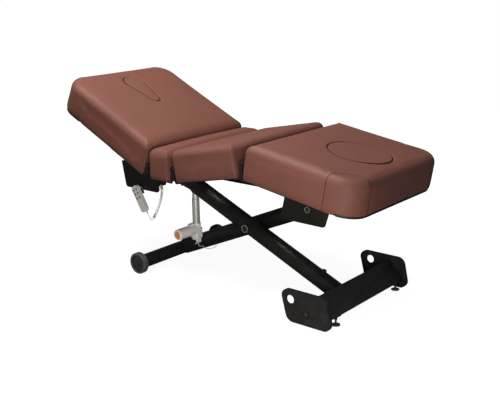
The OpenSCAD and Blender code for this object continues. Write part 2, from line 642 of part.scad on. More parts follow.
// Foot.
foot_pts = [[-152.4, 105], [-111, -57], [147.7, -57], [113.3, 105]];
foot_radii = [35, 45, 38, 42];
foot_hole_at = [-90, 58];
beam_top = [26, 81];
beam_bot = [116, -12];
beam_in_shares = [-0.719, -0.695];  // direction of the beam's thickness
foot_skin = foot_face - foot_wall;
foot_bolt_r = 10;
foot_bolt_gap = 3;          // ring round the axle's end bolts
function less(r, d) = [for (x = r) x - d];
module foot_plates() coat() at(axle_low) both() difference() {
  plate(rounded(foot_pts, foot_radii), foot_face - foot_edge, foot_face);
  plate(rounded(inset(foot_pts, foot_wall), less(foot_radii, foot_wall)),
    foot_face - foot_edge - over, foot_skin);
  at(foot_hole_at) yrod(foot_hole_r, foot_skin - over, foot_face + over);
  yrod(foot_bolt_r + foot_bolt_gap, foot_skin - over, foot_face + over);
}
pad_near = [100, -256];     // levelling pads from the foot axle and the middle plane
pad_far = [94, 308];
tab_l = 40;                 // depth of the nut tabs
tab_half = 22;
tab_t = 4;
module foot_beam() coat() at(axle_low) difference() {
  union() {
    plate([beam_top, beam_bot, beam_bot + beam_t * beam_in_shares, beam_top + beam_t * beam_in_shares],
      -foot_skin, foot_skin);
    for (p = [pad_near, pad_far]) box(beam_bot[0] - tab_l, beam_bot[0], p[1] - tab_half,
      p[1] + tab_half, beam_bot[1] - tab_t, beam_bot[1]);
  }
  for (p = [pad_near, pad_far]) translate([p[0], p[1], beam_bot[1] - tab_t - over])
    cylinder(r = stem_r + fit, h = tab_t + 2 * over);
}
collar_r = 22;
collar_t = 8;
module foot_axle() steel() at(axle_low) {
  yrod(foot_axle_r, -foot_skin, foot_skin);
  both() yrod(foot_bolt_r, foot_skin - over, foot_face - over);
  yrod(collar_r, -arm_y - arm_r - collar_t, -arm_y - arm_r - seat);
  yrod(collar_r, arm_r - arm_y + seat, arm_r - arm_y + collar_t);
}
pad_t = 8;
stem_top = 50;
nut_z = 28;
nut_t = 7;
nut_r = 9;
module levelling(p) translate([axle_low[0] + p[0], p[1], 0]) {
  cylinder(r = pad_r, h = pad_t / 2);
  translate([0, 0, pad_t / 2]) cylinder(r1 = pad_r, r2 = pad_r - pad_t, h = pad_t / 2);
  cylinder(r = stem_r, h = stem_top);
  translate([0, 0, nut_z]) cylinder(r = nut_r, h = nut_t, $fn = 6);
}
module levelling_foot_near() rubber() levelling(pad_near);
module levelling_foot_far() rubber() levelling(pad_far);

// Column drive.
drive_tilt = atan2(axle_roll[0] - stub_low[0], axle_roll[1] - stub_low[1]);
drive_len = norm(axle_roll - stub_low);
module drive_frame() translate([stub_low[0], drive_y, stub_low[1]]) rotate([0, drive_tilt, 0])
  children();
clevis_r = 15;
clevis_h = 22;
house_w = 50;
house_d = 50;
house_h = 56;
collar_h = 30;
collar_out = 24;
motor_z = 73;
column_top = 250;
rod_tail = 102;             // lower end of the moving tube, as it stands
neck_r = 10;
neck_l = 65;                // the moving tube steps down this far below its eye
eye_r = 18;
eye_half = 6;
eye_side = 1.95;            // side play of the eye on its axle
eye_up = 0.8;               // play above and below the axle, for the linkage's small error
eye_down = 3.4;
house_r = 8;
boss_share = 0.8;           // the motor's boss as a share of its radius
bore_r = rod_r + fit;
module gear_housing() pale() drive_frame() difference() {
  union() {
    yrod(clevis_r, -clevis_half, clevis_half);
    box(-clevis_r, clevis_r, -clevis_half, clevis_half, 0, clevis_h);
    translate([0, 0, clevis_h]) linear_extrude(house_h) rrect(house_w, house_d, house_r);
    translate([0, 0, clevis_h + house_h]) cylinder(r = collar_out, h = collar_h);
    translate([0, 0, motor_z]) yrod(boss_share * motor_r, -house_d / 2 - seat, 0);
  }
  yrod(stub_r + fit, -clevis_half - over, clevis_half + over);
  translate([0, 0, clevis_h + strap_t]) cylinder(r = bore_r, h = house_h + collar_h);
}
motor_round = 5;
bump_w = 20;
bump_l = 36;
bump_h = 9;
disc_t = 1;
module motor_cover() pale() drive_frame() translate([0, -house_d / 2, motor_z]) difference() {
  union() {
    rotate([90, 0, 0]) rotate_extrude() polygon(concat([[0, 0], [motor_r, 0]],
      corner([motor_r, 0], [motor_r, motor_l], [0, motor_l], motor_round, 5), [[0, motor_l]]));
    box(-bump_w / 2, bump_w / 2, -bump_l - over, -over, 0, motor_r + bump_h);
  }
  yrod(disc_r + seat, -motor_l - over, disc_t - motor_l);
  rotate([90, 0, 0]) translate([0, 0, -over]) cylinder(r = boss_share * motor_r + seat, h = over + seat);
}
module motor_disc() color([0.9, 0.5, 0.2]) home() drive_frame() translate([0, -house_d / 2, motor_z])
  yrod(disc_r, -motor_l - disc_t / 2, disc_t - motor_l);
module lift_column() steel() drive_frame() translate([0, 0, clevis_h + house_h + collar_h])
  difference() { h = column_top - clevis_h - house_h - collar_h;
    cylinder(r = column_r, h = h);
    translate([0, 0, -over]) cylinder(r = bore_r, h = h + 2 * over); }
screw_gap = 0.9;            // gap round the screw above its nut
nut_l = 20;                 // length of the drive nut in the moving tube
rod_end = 22;               // solid metal below the eye's middle
module lift_rod() steel() drive_frame() difference() {
  union() {
    translate([0, 0, rod_tail]) cylinder(r = rod_r, h = drive_len - neck_l - rod_tail);
    translate([0, 0, drive_len - neck_l]) cylinder(r = neck_r, h = neck_l);
    translate([0, 0, drive_len]) yrod(eye_r, -eye_half, eye_half);
  }
  translate([0, 0, rod_tail - over]) cylinder(r = screw_r + fit, h = nut_l + 2 * over);
  translate([0, 0, rod_tail + nut_l])
    cylinder(r = screw_r + screw_gap, h = drive_len - rod_end - rod_tail - nut_l);
  translate([0, 0, drive_len]) {
    translate([0, 0, eye_up]) yrod(top_r + eye_side, -eye_r, eye_r);
    translate([0, 0, -eye_down]) yrod(top_r + eye_side, -eye_r, eye_r);
    box(-top_r - eye_side, top_r + eye_side, -eye_r, eye_r, -eye_down, eye_up);
  }
}
screw_top = 257;
screw_foot = 1.2;           // thickness of the screw's foot
module lift_screw() steel() drive_frame() {
  translate([0, 0, clevis_h + strap_t]) cylinder(r = screw_r, h = screw_top - clevis_h - strap_t);
  translate([0, 0, clevis_h + strap_t]) cylinder(r = rod_r - over, h = screw_foot);
}

// Table frame.
member_w = 30;
member_z0 = rail_bot + rail_wall;
member_z1 = rail_top - rail_wall;
rail_x0 = back_x - rail_head;
rail_x1 = knee_x + rail_foot;
// the rails' foot ends slope away under the leg section at the seat's greatest raise
seat_most = 20;
rail_clear = 1.5;           // gap there between the rails and the leg section
most_tilt = asin((knee_run * sin(seat_most) + shoe_drop) / norm([shoe_run, shoe_drop]))
  - atan(shoe_drop / shoe_run);
module side_rails() coat() both() difference() {
  box(rail_x0, rail_x1, rail_in, rail_out, rail_bot, rail_top);
  box(rail_x0 - over, rail_x1 + over, rail_in + rail_wall, rail_out + over, member_z0, member_z1);
  translate([seat_x, 0, hinge_z]) rotate([0, -seat_most, 0]) translate([knee_run, 0, 0])
    rotate([0, seat_most + most_tilt, 0])
    box(shoe_run, leg_u1 + rail_foot, rail_in - over, rail_out + over, leg_zb - rail_clear, 0);
}
gusset_in = gusset_face - gusset_t;
// cross members, from the fixed upper axle
head_run = 1306.4;
head_run2 = 1071.4;
track_run = 896.4;
track_run2 = 764.4;
foot_run = -101.4;
foot_run2 = 103.6;
mid_run = 871.4;
knee_run_x = -151.4;
outer_runs = [-head_run, -head_run2, -track_run, -track_run2, foot_run, foot_run2];
inner_runs = [-mid_run, -track_run2, knee_run_x, foot_run2];
track_x0 = -911.4;          // roller track, from the fixed upper axle
track_x1 = -741.4;
track_t = 5;
track_lip = roll_w;
track_gap = 0.4;            // running gap over the rollers
back_base = [-910.4, 26];   // pin of the back drive, from the fixed upper axle
knee_base = [-186.4, 50];   // pin of the knee drive
function framed(p) = axle_fix + p;
module cross_members() coat() {
  x0 = axle_fix[0];
  both() for (r = outer_runs) box(x0 + r - member_w / 2, x0 + r + member_w / 2,
    rail_in + rail_wall, gusset_in, member_z0, member_z1);
  for (r = inner_runs) box(x0 + r - member_w / 2, x0 + r + member_w / 2, -rail_in, rail_in,
    member_z0, member_z1);
  both() {
    zt = axle_fix[1] + roller_r + track_gap;
    box(x0 + track_x0, x0 + track_x1, gusset_face - track_lip, gusset_face, zt, zt + track_t);
    box(x0 + track_x0, x0 + track_x1, gusset_in, gusset_face, zt, member_z1);
    base_lug(back_base, x0 - mid_run - member_w / 2);
    base_lug(knee_base, x0 + knee_run_x - member_w / 2);
  }
}
module base_lug(p, x) difference() {
  lug(framed(p), lug_r, [x + over, member_z0], [x + over, member_z1], lug_in, lug_in + lug_t);
  at(framed(p)) yrod(drive_pin_r + fit, lug_in - over, lug_in + lug_t + over);
}
foot_gusset_pts = [[-134.4, 81], [-171.4, -75], [98.6, -77], [148.6, 81]];
head_gusset_pts = [[-1336.4, 72], [-1306.4, -82], [-1032.4, -80], [-1056.4, 75]];
gusset_round = 20;
gusset_small = 6;
module gusset(pts) both() plate(rounded([for (p = pts) framed(p)],
  [gusset_small, gusset_round, gusset_round, gusset_small]), gusset_in, gusset_face);
module foot_gussets() coat() difference() {
  gusset(foot_gusset_pts);
  at(axle_fix) yrod(fixed_r + fit, -gusset_face - over, gusset_face + over);
}
module head_gussets() coat() gusset(head_gusset_pts);
nut_side = 4;               // a nut's reach past its axle
spacer_wall = 6;
module top_axle() steel() at(axle_fix) {
  yrod(fixed_r, -gusset_face, gusset_face);
  both() yrod(fixed_r + nut_side, gusset_face + seat, gusset_face + washer_t);
  both() yrod(fixed_r, gusset_face - over, gusset_face + washer_t);
  yrod(fixed_r + spacer_wall, arm_y + arm_r + hub_face + seat, gusset_in - seat);
  yrod(fixed_r + spacer_wall, arm_y - arm_r - collar_t, arm_y - arm_r - hub_face - seat);
}
case_x0 = -1306.4;          // control box, from the fixed upper axle
case_x1 = -1066.4;
case_z0 = -55;
case_z1 = 45;
case_w = 84;
gland_r = 6;
gland_l = 8;
gland_y = -95;
gland_z = -45;
module control_box() coat() at(axle_fix) {
  box(case_x0, case_x1, -gusset_in, case_w - gusset_in, case_z0, case_z1);
  translate([case_x1 - over, gland_y, gland_z]) rotate([0, 90, 0])
    cylinder(r = gland_r, h = gland_l + over);
  box(case_x0 + member_w, case_x0 + 2 * member_w, -gusset_in, case_w - gusset_in, case_z1 - over,
    rail_bot - axle_fix[1]);
}

// Small drives.
module small_body(l, h) difference() {
  union() {
    yrod(lug_r, -drive_w / 2, drive_w / 2);
    box(0, lug_r + h / 2, -drive_w / 4, drive_w / 4, -h / 4, h / 4);
    box(lug_r + h / 4, l, -drive_w / 2, drive_w / 2, -h / 2, h / 2);
  }
  translate([lug_r + over, 0, 0]) rotate([0, 90, 0]) cylinder(r = small_rod_r + fit, h = l);
}
small_rod_r = 8;
small_h = 36;
module small_pin() yrod(drive_pin_r, -lug_in - lug_t, lug_in + lug_t);
// a rod from its tail to an eye of radius e at l, its hole set by o from the pin
module small_rod(tail, l, o, hole, e) difference() {
  union() {
    translate([tail, 0, 0]) rotate([0, 90, 0]) cylinder(r = small_rod_r, h = l - tail - hole / 2);
    at([l + o[0], o[1]]) yrod(e, -small_rod_r - over, small_rod_r + over);
  }
  at([l + o[0], o[1]]) yrod(hole, -e, e);
}
function toward(a, b) = atan2(b[1] - a[1], b[0] - a[0]);
back_pin = [back_x, hinge_z] + turn([-back_lever[0], back_lever[1]], back_angle);
seat_pin = [seat_x, hinge_z] + turn(seat_lever, -seat_angle);
module between(a, b) at(a) rotate([0, -toward(a, b), 0]) children();
back_body_l = 140;
back_tail = 74;
back_eye = [-1.2, 3.9];     // the open pivot's hole from the pin, along and across the rod
back_play = 4.6;            // room for the rod in the open pivot
back_hole = drive_pin_r + back_play;
knee_body_l = 250;
knee_tail = 212;
knee_eye = [0.7, -0.9];
knee_hole = drive_pin_r + 1.6;
eye_wall = 5;
module back_drive_body() coat() between(framed(back_base), back_pin) {
  small_body(back_body_l, small_h); small_pin(); }
module back_drive_rod() steel() between(framed(back_base), back_pin)
  small_rod(back_tail, norm(back_pin - framed(back_base)), back_eye, back_hole, back_hole + eye_wall);
module knee_drive_body() coat() between(framed(knee_base), seat_pin) {
  small_body(knee_body_l, small_h); small_pin(); }
module knee_drive_rod() steel() between(framed(knee_base), seat_pin)
  small_rod(knee_tail, norm(seat_pin - framed(knee_base)), knee_eye, knee_hole, knee_hole + eye_wall);

// Handset.
hand_run = -1212.4;         // top of the handset from the fixed upper axle
hand_z = -59;
hand_back = -136;           // back face of the handset
module hand_frame() at(framed([hand_run, hand_z])) rotate([0, -hand_lean, 0]) children();
hand_round = 17;
key_rows = [24, 49, 74];    // keys below the handset's top
key_col = 12;
key_in = 5;
key_stroke = 1.5;
key_gap = 0.3;
relief_x = 7.4;
relief_r = 5;
relief_l = 14;
hang_x = 20;                // hanger from the handset's middle line
hang_w = 22;
hang_top = -26;
hang_bot = -62;
hang_t = 2.4;
lip_gap = 1.8;
tongue_w = 16;
tongue_l = 26;
plate_y = -gusset_face;     // face that carries the hanger
module key_shape(y0, y1, g) translate([0, y1, 0]) rotate([90, 90, 0]) linear_extrude(y1 - y0)
  pill(key_l + 2 * g, key_w + 2 * g);
module on_key(i) translate([(i % 2 * 2 - 1) * key_col, 0, -key_rows[floor(i / 2)]]) children();
module key(i) color([0.25, 0.25, 0.25]) home() hand_frame() on_key(i)
  key_shape(hand_back - hand_t - key_up, hand_back - hand_t + key_in, 0);
module key_1() key(0);
module key_2() key(1);
module key_3() key(2);
module key_4() key(3);
module key_5() key(4);
module key_6() key(5);
tongue_y = hand_back + hang_t + 2 * lip_gap;    // front face of the tongue
module handset_shell() pale() hand_frame() {
  difference() {
    union() {
      translate([0, hand_back, -hand_l / 2]) rotate([90, 0, 0]) linear_extrude(hand_t)
        rrect(hand_w, hand_l, hand_round);
      translate([relief_x, hand_back - hand_t / 2, -hand_l - relief_l])
        cylinder(r = relief_r, h = relief_l + hand_round);
    }
    for (i = [0:5]) on_key(i) key_shape(hand_back - hand_t - over,
      hand_back - hand_t + key_in + key_stroke + part, key_gap);
  }
  box(hang_x - tongue_w / 2, hang_x + tongue_w / 2, hand_back - over, tongue_y + hang_t,
    hang_top + seat, hang_top + seat + 2 * hang_t);
  box(hang_x - tongue_w / 2, hang_x + tongue_w / 2, tongue_y, tongue_y + hang_t,
    hang_top - tongue_l, hang_top + 2 * hang_t);
}
module handset_hanger() coat() hand_frame() {
  lip = hand_back + lip_gap;
  box(hang_x - hang_w / 2, hang_x + hang_w / 2, plate_y - hang_t, plate_y, hang_bot, -hang_t);
  box(hang_x - hang_w / 2, hang_x + hang_w / 2, lip, lip + hang_t, hang_bot, hang_top);
  box(hang_x - hang_w / 2, hang_x + hang_w / 2, lip, plate_y, hang_bot, hang_bot + 2 * hang_t);
}

// Cords.
// plain lead, from the strain relief's tip: across, out and up in the handset's frame
lead_route = [[0, 0, 0], [0, 0, -5], [0, 0, -14], [1, -1, -24], [3, -2, -34], [7, -3, -43],
  [13, -3, -48], [20, -3, -48], [26, -3, -45.6]];
tube_sides = 8;
function slope(p, i) = unit(unit(p[min(i + 1, len(p) - 1)] - p[max(i - (i == len(p) - 1 ? 1 : 0), 0)])
  + unit(p[max(i, 1)] - p[max(i, 1) - 1]));
module tube(p, r, side) skin([for (i = [0:len(p) - 1]) let(t = slope(p, i), u = unit(cross(side, t)),
  v = cross(t, u)) [for (k = [0:tube_sides - 1]) let(a = 360 * k / tube_sides)
  p[i] + r * (cos(a) * u + sin(a) * v)]], p[0], p[len(p) - 1]);
relief_tip = [relief_x, hand_back - hand_t / 2, -hand_l - relief_l];
module handset_lead() pale() hand_frame() translate(relief_tip) tube(lead_route, cord_r, [0, 1, 0]);
function hand_put(p) = let(q = turn([p[0], p[2]], -hand_lean), o = framed([hand_run, hand_z]))
  [o[0] + q[0], p[1], o[1] + q[1]];
curl_n = 28;
curl_rings = 8;
curl_sides = 6;
curl_a = hand_put(relief_tip + lead_route[len(lead_route) - 1]);
curl_dir = unit(curl_a - hand_put(relief_tip + lead_route[len(lead_route) - 2]));
curl_d = [axle_fix[0] + case_x1 + gland_l, gland_y, axle_fix[1] + gland_z];
curl_b = curl_a + 72 * curl_dir;            // pulls of the cord's curve
curl_pull = 52;             // pull of the gland on the cord's curve
curl_c = curl_d + [curl_pull, 0, 0];
function curl_mid(t) = pow(1 - t, 3) * curl_a + 3 * t * pow(1 - t, 2) * curl_b
  + 3 * t * t * (1 - t) * curl_c + pow(t, 3) * curl_d;
function curl_way(t) = unit(pow(1 - t, 2) * (curl_b - curl_a) + 2 * t * (1 - t) * (curl_c - curl_b)
  + t * t * (curl_d - curl_c));
curl_total = curl_n * curl_rings;
straight_share = 0.022;     // share of the way that runs straight at each end
grow_share = 0.03;          // share of the way in which the curls reach full size
function curl_size(t) = (curl_r - cord_r) * max(0, min(1, (min(t, 1 - t) - straight_share) / grow_share));
function curl_pt(k) = let(t = k / curl_total, w = curl_way(t), u = unit(cross([0, 1, 0], w)),
  v = cross(w, u), a = 360 * k / curl_rings) curl_mid(t) + curl_size(t) * (cos(a) * u + sin(a) * v);
curl_pts = [for (k = [0:curl_total]) curl_pt(k)];
curl_loops = [for (k = [0:curl_total]) let(t = k / curl_total, w = curl_way(t),
  u = unit(cross([0, 1, 0], w)), v = cross(w, u), a = 360 * k / curl_rings,
  d = unit(curl_pts[min(k + 1, curl_total)] - curl_pts[max(k - 1, 0)]),
  s = k == 0 || k == curl_total ? w : d, e = cos(a) * u + sin(a) * v,
  g = curl_size(t) > 0 ? unit(e - (e * s) * s) : unit(u - (u * s) * s), h = cross(s, g))
  [for (j = [0:curl_sides - 1]) let(b = 360 * j / curl_sides) curl_pts[k]
    + cord_r * (cos(b) * g + sin(b) * h)]];
module handset_curl() pale() skin(curl_loops, curl_pts[0], curl_pts[curl_total]);
echo(curl_least_gap = min([for (i = [0:curl_total - curl_rings - 2], j = [5:curl_rings + 2])
  if (curl_size(i / curl_total) > cord_r && curl_size((i + j) / curl_total) > cord_r)
  norm(curl_pts[i] - curl_pts[i + j])]) - 2 * cord_r);
// thin lead from the drive's clevis to the wheel arm, in the arm's frame
motor_route = [[-467, -62, -8], [-466, -62, -18], [-460, -62, -25], [-450, -62, -26],
  [-440, -61, -27], [-432, -59, -36], [-426, -52, -47], [-417, -42, -53], [-406, -24, -57],
  [-398, -8, -55], [-396, 0, -50]];
lead_r = 1.8;
lead_top = stub_at + turn([0, -clevis_r - seat], lift_angle + drive_tilt);
lead_end = motor_route[len(motor_route) - 1];
lead_path = concat([[lead_top[0], motor_route[0][1], lead_top[1]]], motor_route,
  [[lead_end[0], lead_end[1], -arm_r - seat]]);
module motor_lead() pale() arm_b_frame() tube(lead_path, lead_r, [0, 1, 0]);

foot_plates();
foot_beam();
foot_axle();
levelling_foot_near();
levelling_foot_far();
arm_a_tube();
pivot_bolt();
top_cross_axle();
roller_near();
roller_far();
arm_b_tube();
wheel_cross_tube();
wheel_bolts();
wheel_near();
wheel_far();
tyre_near();
tyre_far();
gear_housing();
motor_cover();
motor_disc();
lift_column();
lift_rod();
lift_screw();
side_rails();
cross_members();
foot_gussets();
head_gussets();
top_axle();
control_box();
handset_hanger();
lumbar_board();
lumbar_cushion();
hinge_ears();
hinge_pins();
back_board();
back_cushion();
back_hinges();
face_plug();
seat_board();
seat_cushion();
seat_hinges();
knee_pins();
leg_board();
leg_cushion();
leg_hinges();
leg_plug();
back_drive_body();
back_drive_rod();
knee_drive_body();
knee_drive_rod();
handset_shell();
key_1();
key_2();
key_3();
key_4();
key_5();
key_6();
handset_curl();
handset_lead();
motor_lead();
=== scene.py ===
import logging
import math
from dataclasses import dataclass
from enum import Enum
from typing import Optional, Sequence

import bmesh
import bpy
import numpy as np
from mathutils import Matrix
from mathutils.kdtree import KDTree


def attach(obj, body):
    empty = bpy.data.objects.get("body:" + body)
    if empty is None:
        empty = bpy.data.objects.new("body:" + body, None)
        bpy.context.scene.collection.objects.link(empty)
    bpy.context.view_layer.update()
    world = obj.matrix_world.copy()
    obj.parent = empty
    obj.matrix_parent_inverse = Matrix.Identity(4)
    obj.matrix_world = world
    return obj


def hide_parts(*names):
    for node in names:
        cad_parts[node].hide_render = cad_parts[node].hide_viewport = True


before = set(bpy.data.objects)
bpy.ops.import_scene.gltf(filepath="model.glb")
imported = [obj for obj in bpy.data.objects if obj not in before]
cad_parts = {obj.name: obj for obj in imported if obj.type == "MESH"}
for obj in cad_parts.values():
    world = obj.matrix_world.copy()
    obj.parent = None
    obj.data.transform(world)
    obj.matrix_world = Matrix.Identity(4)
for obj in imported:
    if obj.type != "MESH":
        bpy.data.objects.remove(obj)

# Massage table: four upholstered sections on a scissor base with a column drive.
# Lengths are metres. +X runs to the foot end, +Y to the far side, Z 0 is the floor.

Array = np.ndarray
Object = bpy.types.Object
Socket = bpy.types.NodeSocket

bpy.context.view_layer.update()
LOG = logging.getLogger("massage_table")

# The pivots and section origins in the table's frame, X and Z.
PIVOT = (0.120034, 0.311171)
TOP_AXLE = (0.545734, 0.494507)
FOOT_AXLE = (0.703247, 0.060)
CROSS_TUBE = (-0.463180, 0.060)
BACK_HINGE = (-0.305666, 0.644507)
SEAT_HINGE = (-0.129666, 0.644507)
LUMBAR = (-0.218666, 0.582507)
KNEE = (0.329261, 0.736210)
HANDSET_HOOK = (-0.666666, 0.435507)
ARM_LEAN = 23.3

NEAR, FAR, UP = (0, -1, 0), (0, 1, 0), (0, 0, 1)


# Surfaces

def turned(x: Array, z: Array, degrees: float) -> tuple[Array, Array]:
    """Turns X, Z about +Y: (x cos a + z sin a, z cos a - x sin a).

    Args:
        x: lengths along X.
        z: lengths along Z.
        degrees: the turn a.

    Returns:
        The turned X and Z.
    """
    c, s = math.cos(math.radians(degrees)), math.sin(math.radians(degrees))
    return x * c + z * s, z * c - x * s


@dataclass(frozen=True)
class Place:
    """A sub-assembly's own axes: u along, v across and w out of it, in the table's frame.

    With mirror set, u runs towards the head end.
    """

    x: float
    z: float
    lean: float
    y: float = 0.0
    mirror: bool = False

    def put(self, p: Array) -> Array:
        """Moves points from these axes to the table's: (x, y, z) + turn(u, w) by lean.

        Args:
            p: points, last axis u, v, w.

        Returns:
            The points in the table's frame.
        """
        u = -p[..., 0] if self.mirror else p[..., 0]
        du, dw = turned(u, p[..., 2], self.lean)
        return np.stack([self.x + du, self.y + p[..., 1], self.z + dw], -1)


def grid_faces(rows: int, cols: int, wrap_rows: bool, wrap_cols: bool) -> Array:
    """Quads of a grid whose point (i, j) has number i * cols + j.

    Args:
        rows: number of rows.
        cols: number of columns.
        wrap_rows: joins the last row to the first.
        wrap_cols: joins the last column to the first.

    Returns:
        One quad a line.
    """
    i = np.arange(rows if wrap_rows else rows - 1)[:, None]
    j = np.arange(cols if wrap_cols else cols - 1)[None, :]
    i1, j1 = (i + 1) % rows, (j + 1) % cols
    return np.stack([i * cols + j, i * cols + j1, i1 * cols + j1, i1 * cols + j], -1).reshape(-1, 4)


def as_mesh(name: str, parts: Sequence[tuple[Array, Array]], crease: float = 40.0,
            merge: float = 2e-6) -> Object:
    """One mesh object from (points, faces) parts, doubles merged and normals turned outwards.

    Args:
        name: the object's name.
        parts: points (n, 3) and faces (m, 3 or 4) of each part.
        crease: edges sharper than this many degrees stay sharp.
        merge: points nearer than this are one.

    Returns:
        The object, at the origin.
    """
    points, faces, start = [], [], 0
    for p, f in parts:
        flat = np.asarray(p, float).reshape(-1, 3)
        points.append(flat)
        faces.extend((np.asarray(f) + start).tolist())
        start += len(flat)
    mesh = bpy.data.meshes.new(name)
    mesh.from_pydata(np.concatenate(points).tolist(), [], faces)
    shell = bmesh.new()
    shell.from_mesh(mesh)
    bmesh.ops.remove_doubles(shell, verts=shell.verts, dist=merge)
    bmesh.ops.dissolve_degenerate(shell, edges=shell.edges, dist=merge)
    bmesh.ops.recalc_face_normals(shell, faces=shell.faces)
    shell.to_mesh(mesh)
    shell.free()
    mesh.polygons.foreach_set("use_smooth", np.ones(len(mesh.polygons), bool))
    mesh.set_sharp_from_angle(angle=math.radians(crease))
    mesh.update()
    piece = bpy.data.objects.new(name, mesh)
    bpy.context.scene.collection.objects.link(piece)
    return piece


def lathe(profile: Sequence[tuple[float, float]], foot: Sequence[float], way: Sequence[float],
          around: int = 48) -> tuple[Array, Array]:
    """A surface of revolution: foot + h way + r (cos a u + sin a v), for each (r, h) and angle a.

    Args:
        profile: radius and height of each row; a radius of 0 closes an end.
        foot: the point where the height is 0.
        way: the direction of the axis.
        around: points round the axis, 6 for a hexagon.

    Returns:
        Points and faces.
    """
    axis = np.asarray(way, float) / np.linalg.norm(way)
    u = np.cross(axis, [0.0, 0.0, 1.0] if abs(axis[2]) < 0.9 else [0.0, 1.0, 0.0])
    u /= np.linalg.norm(u)
    v = np.cross(axis, u)
    rh = np.asarray(profile, float)
    a = 2 * np.pi * np.arange(around) / around
    ring = np.cos(a)[:, None] * u + np.sin(a)[:, None] * v
    p = np.asarray(foot, float) + rh[:, None, 1:2] * axis + rh[:, None, 0:1] * ring[None]
    return p, grid_faces(len(rh), around, False, True)


def tube(path: Array, radius: Array, side: Sequence[float], around: int = 16,
         closed: bool = False) -> tuple[Array, Array]:
    """A round skin on a path: q + r (cos a u + sin a v), u = side x way, v = way x u.

    Args:
        path: points of the middle line.
        radius: the radius at each point.
        side: a direction never along the path.
        around: points round the path.
        closed: joins the end to the start.

    Returns:
        Points and faces.
    """
    way = (np.roll(path, -1, 0) - np.roll(path, 1, 0)) if closed else np.gradient(path, axis=0)
    way /= np.linalg.norm(way, axis=1, keepdims=True)
    u = np.cross(np.asarray(side, float), way)
    u /= np.linalg.norm(u, axis=1, keepdims=True)
    v = np.cross(way, u)
    a = 2 * np.pi * np.arange(around) / around
    p = path[:, None] + radius[:, None, None] * (
        np.cos(a)[:, None] * u[:, None] + np.sin(a)[:, None] * v[:, None])
    return p, grid_faces(len(path), around, closed, True)


def smooth_path(points: Array, steps: int) -> Array:
    """A Catmull-Rom curve through the points, steps pieces between each two.

    Args:
        points: the points that it passes.
        steps: pieces between each two.

    Returns:
        Points on the curve.
    """
    p = np.concatenate([2 * points[:1] - points[1:2], points, 2 * points[-1:] - points[-2:-1]])
    t = (np.arange(steps) / steps)[None, :, None]
    a, b, c, d = (p[k:len(p) - 3 + k, None] for k in range(4))
    q = 0.5 * (2 * b + (c - a) * t + (2 * a - 5 * b + 4 * c - d) * t ** 2
               + (3 * b - a - 3 * c + d) * t ** 3)
    return np.concatenate([q.reshape(-1, 3), points[-1:]])


# Finishes

class Tree:
    """Adds and joins shader nodes in one node tree."""

    def __init__(self, tree: bpy.types.NodeTree) -> None:
        """Keeps the tree."""
        self.tree = tree

    def add(self, kind: str, inputs: Optional[dict] = None, **settings: object) -> bpy.types.Node:
        """A new node with its settings, and its inputs set to values or joined to sockets.

        Args:
            kind: the node's type name.
            inputs: value or socket for each input, by name or number.
            **settings: attributes of the node.

        Returns:
            The node.
        """
        node = self.tree.nodes.new(kind)
        for key, value in settings.items():
            setattr(node, key, value)
        for key, value in (inputs or {}).items():
            if isinstance(value, bpy.types.NodeSocket):
                self.tree.links.new(value, node.inputs[key])
            else:
                node.inputs[key].default_value = value
        return node

    def maths(self, operation: str, *values: object, clamp: bool = False) -> Socket:
        """The result of one maths node.

        Args:
            operation: the node's operation.
            *values: numbers or sockets.
            clamp: keeps the result between 0 and 1.

        Returns:
            The result's socket.
        """
        node = self.add("ShaderNodeMath", dict(enumerate(values)), operation=operation,
                        use_clamp=clamp)
        return node.outputs[0]

    def ramp(self, value: Socket, low: float, high: float, low_to: float = 0.0,
             high_to: float = 1.0) -> Socket:
        """The value carried smoothly from low..high to low_to..high_to.

        Args:
            value: the socket to carry.
            low: where it starts.
            high: where it ends.
            low_to: what low becomes.
            high_to: what high becomes.

        Returns:
            The result's socket.
        """
        node = self.add("ShaderNodeMapRange", {0: value, 1: low, 2: high, 3: low_to, 4: high_to},
                        interpolation_type="SMOOTHSTEP")
        return node.outputs[0]

    def mix(self, share: object, a: object, b: object) -> Socket:
        """The colour a with b laid over it by share.

        Args:
            share: how much of b shows.
            a: the colour below.
            b: the colour above.

        Returns:
            The colour's socket.
        """
        node = self.add("ShaderNodeMix", data_type="RGBA")
        for number, value in ((0, share), (6, a), (7, b)):
            if isinstance(value, bpy.types.NodeSocket):
                self.tree.links.new(value, node.inputs[number])
            else:
                node.inputs[number].default_value = value
        return node.outputs[2]

    def noise(self, vector: Socket, scale: float, detail: float = 2.0, rough: float = 0.5,
              warp: float = 0.0) -> Socket:
        """The value of a noise texture.

        Args:
            vector: where it is read.
            scale: its scale.
            detail: its octaves.
            rough: the strength of the finer octaves.
            warp: its distortion.

        Returns:
            The value's socket.
        """
        node = self.add("ShaderNodeTexNoise", {"Vector": vector, "Scale": scale, "Detail": detail,
                                               "Roughness": rough, "Distortion": warp})
        return node.outputs[0]


def new_group(name: str, takes: dict[str, tuple[str, object]], gives: dict[str, str]
              ) -> tuple[bpy.types.NodeTree, Tree, dict[str, Socket], bpy.types.Node]:
    """An empty shader group with named sockets.

    Args:
        name: the group's name.
        takes: kind and usual value of each input.
        gives: kind of each output.

    Returns:
        The group, a Tree on it, its inputs' sockets and its output node.
    """
    group = bpy.data.node_groups.new(name, "ShaderNodeTree")
    for label, (kind, value) in takes.items():
        socket = group.interface.new_socket(name=label, in_out="INPUT", socket_type=kind)
        if value is not None:
            socket.default_value = value
    for label, kind in gives.items():
        group.interface.new_socket(name=label, in_out="OUTPUT", socket_type=kind)
    tree = Tree(group)
    source = tree.add("NodeGroupInput")
    target = tree.add("NodeGroupOutput")
    return group, tree, {label: source.outputs[label] for label in takes}, target


FLOAT, VECTOR, COLOUR = "NodeSocketFloat", "NodeSocketVector", "NodeSocketColor"


